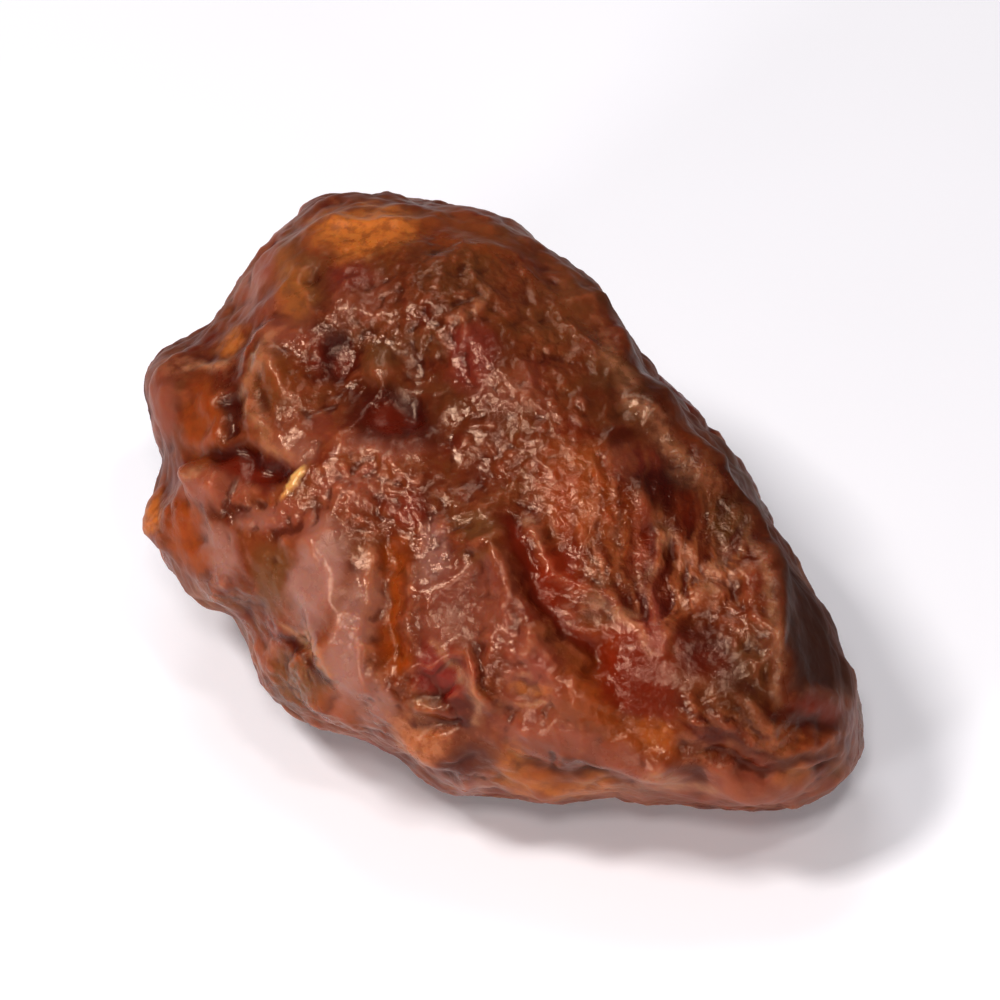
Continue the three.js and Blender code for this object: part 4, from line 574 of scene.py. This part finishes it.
# pink tone, partly a painted sheen of the floor
col = mix(math_('MULTIPLY', rose_and_painted_sheen_, 0.8), col, lin(146,80,60))
col = mix(math_('MULTIPLY', wine_, 0.85), col, lin(124,33,27))
# lilac tone, partly a painted sheen
col = mix(math_('MULTIPLY', lilac_and_painted_sheen_, 0.9), col, lin(158,109,95))
col = mix(math_('MULTIPLY', olive_, 0.8), col, lin(112,70,36))
# painted shade: darker in broad hollows and in small creases
col = mix(ramp(hollow_, 0.5, 0.14, 0.0, 0.65), col, lin(88,19,4))
col = mix(ramp(crest_, 0.46, 0.12, 0.0, 0.68), col, lin(74,15,3))
# painted highlight: lighter along small crests
col = mix(ramp(crest_, 0.6, 1.0, 0.0, 0.31), col, lin(164,98,66))
# painted highlight on the streak crests and painted shade in their valleys
col = mix(ramp(attr('streak'), 0.5, 0.8, 0.0, 0.5), col, lin(156,92,54))
col = mix(ramp(attr('streak'), 0.48, 0.2, 0.0, 0.7), col, lin(88,18,4))
col = mix(math_('MULTIPLY', gold_, ramp(small, 0.34, 0.58, 0.45, 0.95)), col, lin(196,117,50))
col = mix(math_('MULTIPLY', amber_, ramp(small, 0.3, 0.62, 0.55, 0.95)), col, lin(150,68,14))
# dark red: partly skin colour, partly painted shade in pits, grooves and creases
col = mix(math_('MULTIPLY', dark_red_and_painted_shade_, 0.92), col, lin(70,9,2))
col = mix(math_('MULTIPLY', attr('ember'), 0.85), col, lin(134,38,8))
# pale crests and painted highlights at the glints
col = mix(math_('MULTIPLY', attr('pale_and_painted_glint'), ramp(small, 0.3, 0.6, 0.45, 0.85)), col, lin(176,128,94))
# multiplied darker: partly darker skin tone, partly painted shade
col = mix(math_('MULTIPLY', attr('darker_tone_and_painted_shade'), 0.6), col, lin(150,140,134), 'MULTIPLY')
# tan skin and painted highlight along thin crests
col = mix(math_('MULTIPLY', tan_and_painted_crest_highlight_, ramp(small, 0.35, 0.6, 0.15, 0.65)), col, lin(170,108,76))
# painted shade on the right flank and top right edge, with darker patches on the hidden side
col = mix(math_('MULTIPLY', dark_tone_and_painted_shade_, 0.85), col, lin(48,12,3))
col = mix(attr('fleck'), col, mix(attr('straw'), lin(188,136,80), lin(204,160,100)))
col = mix(math_('MULTIPLY', attr('scar'), 0.8), col, lin(52,30,20))
rough = math_('ADD', ramp(mid, 0.3, 0.7, 0.10, 0.17), ramp(crest_, 0.2, 0.9, 0.02, -0.01))
rough = math_('ADD', rough, ramp(busy_, 0.0, 0.6, 0.09, 0.0))
rough = math_('SUBTRACT', rough, math_('MULTIPLY', gloss_, 0.03))
rough = math_('ADD', rough, math_('MULTIPLY', calm_, 0.10))
rough = math_('ADD', rough, math_('MULTIPLY', dark_red_and_painted_shade_, 0.04))
rough = math_('SUBTRACT', rough, math_('MULTIPLY', attr('ember'), 0.03))
rough = math_('ADD', rough, math_('MULTIPLY', dark_tone_and_painted_shade_, 0.30))
rough = math_('ADD', rough, math_('MULTIPLY', attr('bloom'), 0.26))
rough = math_('MAXIMUM', math_('ADD', rough, ramp(small, 0.35, 0.7, -0.02, 0.03), clamp=True), 0.08)
pore = noise_tex(0.22, 4.0, 0.6, 0.3)
vor = node('ShaderNodeTexVoronoi', feature='SMOOTH_F1'); link(coord, vor.inputs['Vector']); vor.inputs['Scale'].default_value = 1000.0/0.42; vor.inputs['Smoothness'].default_value = 0.6
bump1 = node('ShaderNodeBump'); put(bump1.inputs['Strength'], ramp(busy_, 0.0, 0.6, 0.14, 0.44)); bump1.inputs['Distance'].default_value = 0.00008
link(pore, bump1.inputs['Height'])
bump2 = node('ShaderNodeBump'); put(bump2.inputs['Strength'], ramp(busy_, 0.0, 0.8, 0.12, 0.53)); bump2.inputs['Distance'].default_value = 0.00012
link(vor.outputs['Distance'], bump2.inputs['Height']); link(bump1.outputs['Normal'], bump2.inputs['Normal'])
turn = node('ShaderNodeVectorRotate', rotation_type='X_AXIS'); link(coord, turn.inputs['Vector']); turn.inputs['Angle'].default_value = -math.radians(50)
lean = node('ShaderNodeVectorRotate', rotation_type='Y_AXIS'); link(turn.outputs['Vector'], lean.inputs['Vector']); lean.inputs['Angle'].default_value = math.radians(-6)
long_ = node('ShaderNodeVectorMath', operation='MULTIPLY'); link(lean.outputs['Vector'], long_.inputs[0]); long_.inputs[1].default_value = (1.0, 1.0, 0.18)
thread = node('ShaderNodeTexNoise'); link(long_.outputs['Vector'], thread.inputs['Vector']); thread.inputs['Scale'].default_value = 1000/0.5; thread.inputs['Detail'].default_value = 2.0; thread.inputs['Distortion'].default_value = 0.35
bump3 = node('ShaderNodeBump'); put(bump3.inputs['Strength'], math_('MULTIPLY', attr('fan'), 0.8)); bump3.inputs['Distance'].default_value = 0.00016
link(thread.outputs['Fac'], bump3.inputs['Height']); link(bump2.outputs['Normal'], bump3.inputs['Normal'])
bsdf = node('ShaderNodeBsdfPrincipled'); out = node('ShaderNodeOutputMaterial'); link(bsdf.outputs['BSDF'], out.inputs['Surface'])
put(bsdf.inputs['Base Color'], col); put(bsdf.inputs['Roughness'], rough); link(bump3.outputs['Normal'], bsdf.inputs['Normal'])
bsdf.inputs['IOR'].default_value = 1.45
bsdf.inputs['Specular Tint'].default_value = (1.0, 0.75, 0.58, 1.0)
bsdf.inputs['Subsurface Weight'].default_value = 0.6
bsdf.inputs['Subsurface Radius'].default_value = (1.0, 0.26, 0.08)
bsdf.inputs['Subsurface Scale'].default_value = 0.0014
me.materials.append(mat)

# ------------------------------------------------------------------ floor, light, camera
fm = bpy.data.materials.new('floor'); fm.use_nodes = True
fb = fm.node_tree.nodes['Principled BSDF']; fb.inputs['Roughness'].default_value = 0.6; fb.inputs['Emission Color'].default_value = (1.0, 0.985, 1.0, 1); fb.inputs['Emission Strength'].default_value = 0.10
ftc = fm.node_tree.nodes.new('ShaderNodeTexCoord'); fn = fm.node_tree.nodes.new('ShaderNodeTexNoise'); fn.inputs['Scale'].default_value = 60
fr = fm.node_tree.nodes.new('ShaderNodeMix'); fr.data_type = 'RGBA'; fr.inputs['A'].default_value = (0.90, 0.885, 0.92, 1); fr.inputs['B'].default_value = (0.93, 0.915, 0.95, 1)
fm.node_tree.links.new(ftc.outputs['Object'], fn.inputs['Vector']); fm.node_tree.links.new(fn.outputs['Fac'], fr.inputs['Factor']); fm.node_tree.links.new(fr.outputs['Result'], fb.inputs['Base Color'])
fme = bpy.data.meshes.new('floor'); fme.from_pydata([(-2,-2,0),(2,-2,0),(2,2,0),(-2,2,0)], [], [(0,1,2,3)]); fme.materials.append(fm)
floor = bpy.data.objects.new('floor', fme); bpy.context.scene.collection.objects.link(floor)
floor.location.z = -0.00002

world = bpy.data.worlds.new('studio'); bpy.context.scene.world = world; world.use_nodes = True
bg = world.node_tree.nodes['Background']; bg.inputs[0].default_value = (0.93, 0.92, 1.0, 1); bg.inputs[1].default_value = 0.12
def softbox(name, loc, size, watts, tint=(1,1,1), aim=(0,0,0.01)):
    l = bpy.data.lights.new(name, 'AREA'); l.shape = 'RECTANGLE'; l.size, l.size_y = size; l.energy = watts; l.color = tint
    o = bpy.data.objects.new(name, l); bpy.context.scene.collection.objects.link(o); o.location = loc
    o.rotation_euler = (Vector(aim)-Vector(loc)).to_track_quat('-Z', 'Y').to_euler(); o.visible_camera = False
    return o
softbox('key', (-0.20, -0.12, 0.38), (0.09, 0.075), 0.99, (1.0, 0.985, 0.96))
softbox('by_camera', (-0.02, -0.31, 0.36), (0.06, 0.05), 0.48, (1.0, 0.985, 0.96))
softbox('over_right', (0.07, -0.22, 0.42), (0.05, 0.04), 0.26, (1.0, 0.985, 0.96))
softbox('low_left', (-0.24, -0.36, 0.15), (0.08, 0.06), 0.54, (0.97, 0.98, 1.0))
softbox('low_right', (0.14, -0.42, 0.13), (0.05, 0.05), 0.18, (0.98, 0.98, 1.0))
softbox('back', (-0.06, 0.15, 0.42), (0.16, 0.12), 0.32, (0.97, 0.98, 1.0))

cam = bpy.data.cameras.new('camera'); co = bpy.data.objects.new('camera', cam); bpy.context.scene.collection.objects.link(co)
bpy.context.scene.camera = co
aim = Vector((0 - SHIFT[0], 0 - SHIFT[1], Z0))/1000
back = Vector((0, -CE, SE)); dist = 0.42
co.location = aim + back*dist; co.rotation_mode = 'QUATERNION'; co.rotation_quaternion = (-back).to_track_quat('-Z', 'Y')
cam.sensor_width = 36.0; cam.lens = 36.0*dist/0.046; cam.clip_start = 0.01; cam.clip_end = 10; cam.dof.use_dof = False
sc = bpy.context.scene
sc.view_settings.view_transform = 'Standard'; sc.view_settings.look = 'None'; sc.view_settings.gamma = 0.84; sc.view_settings.exposure = 0.10
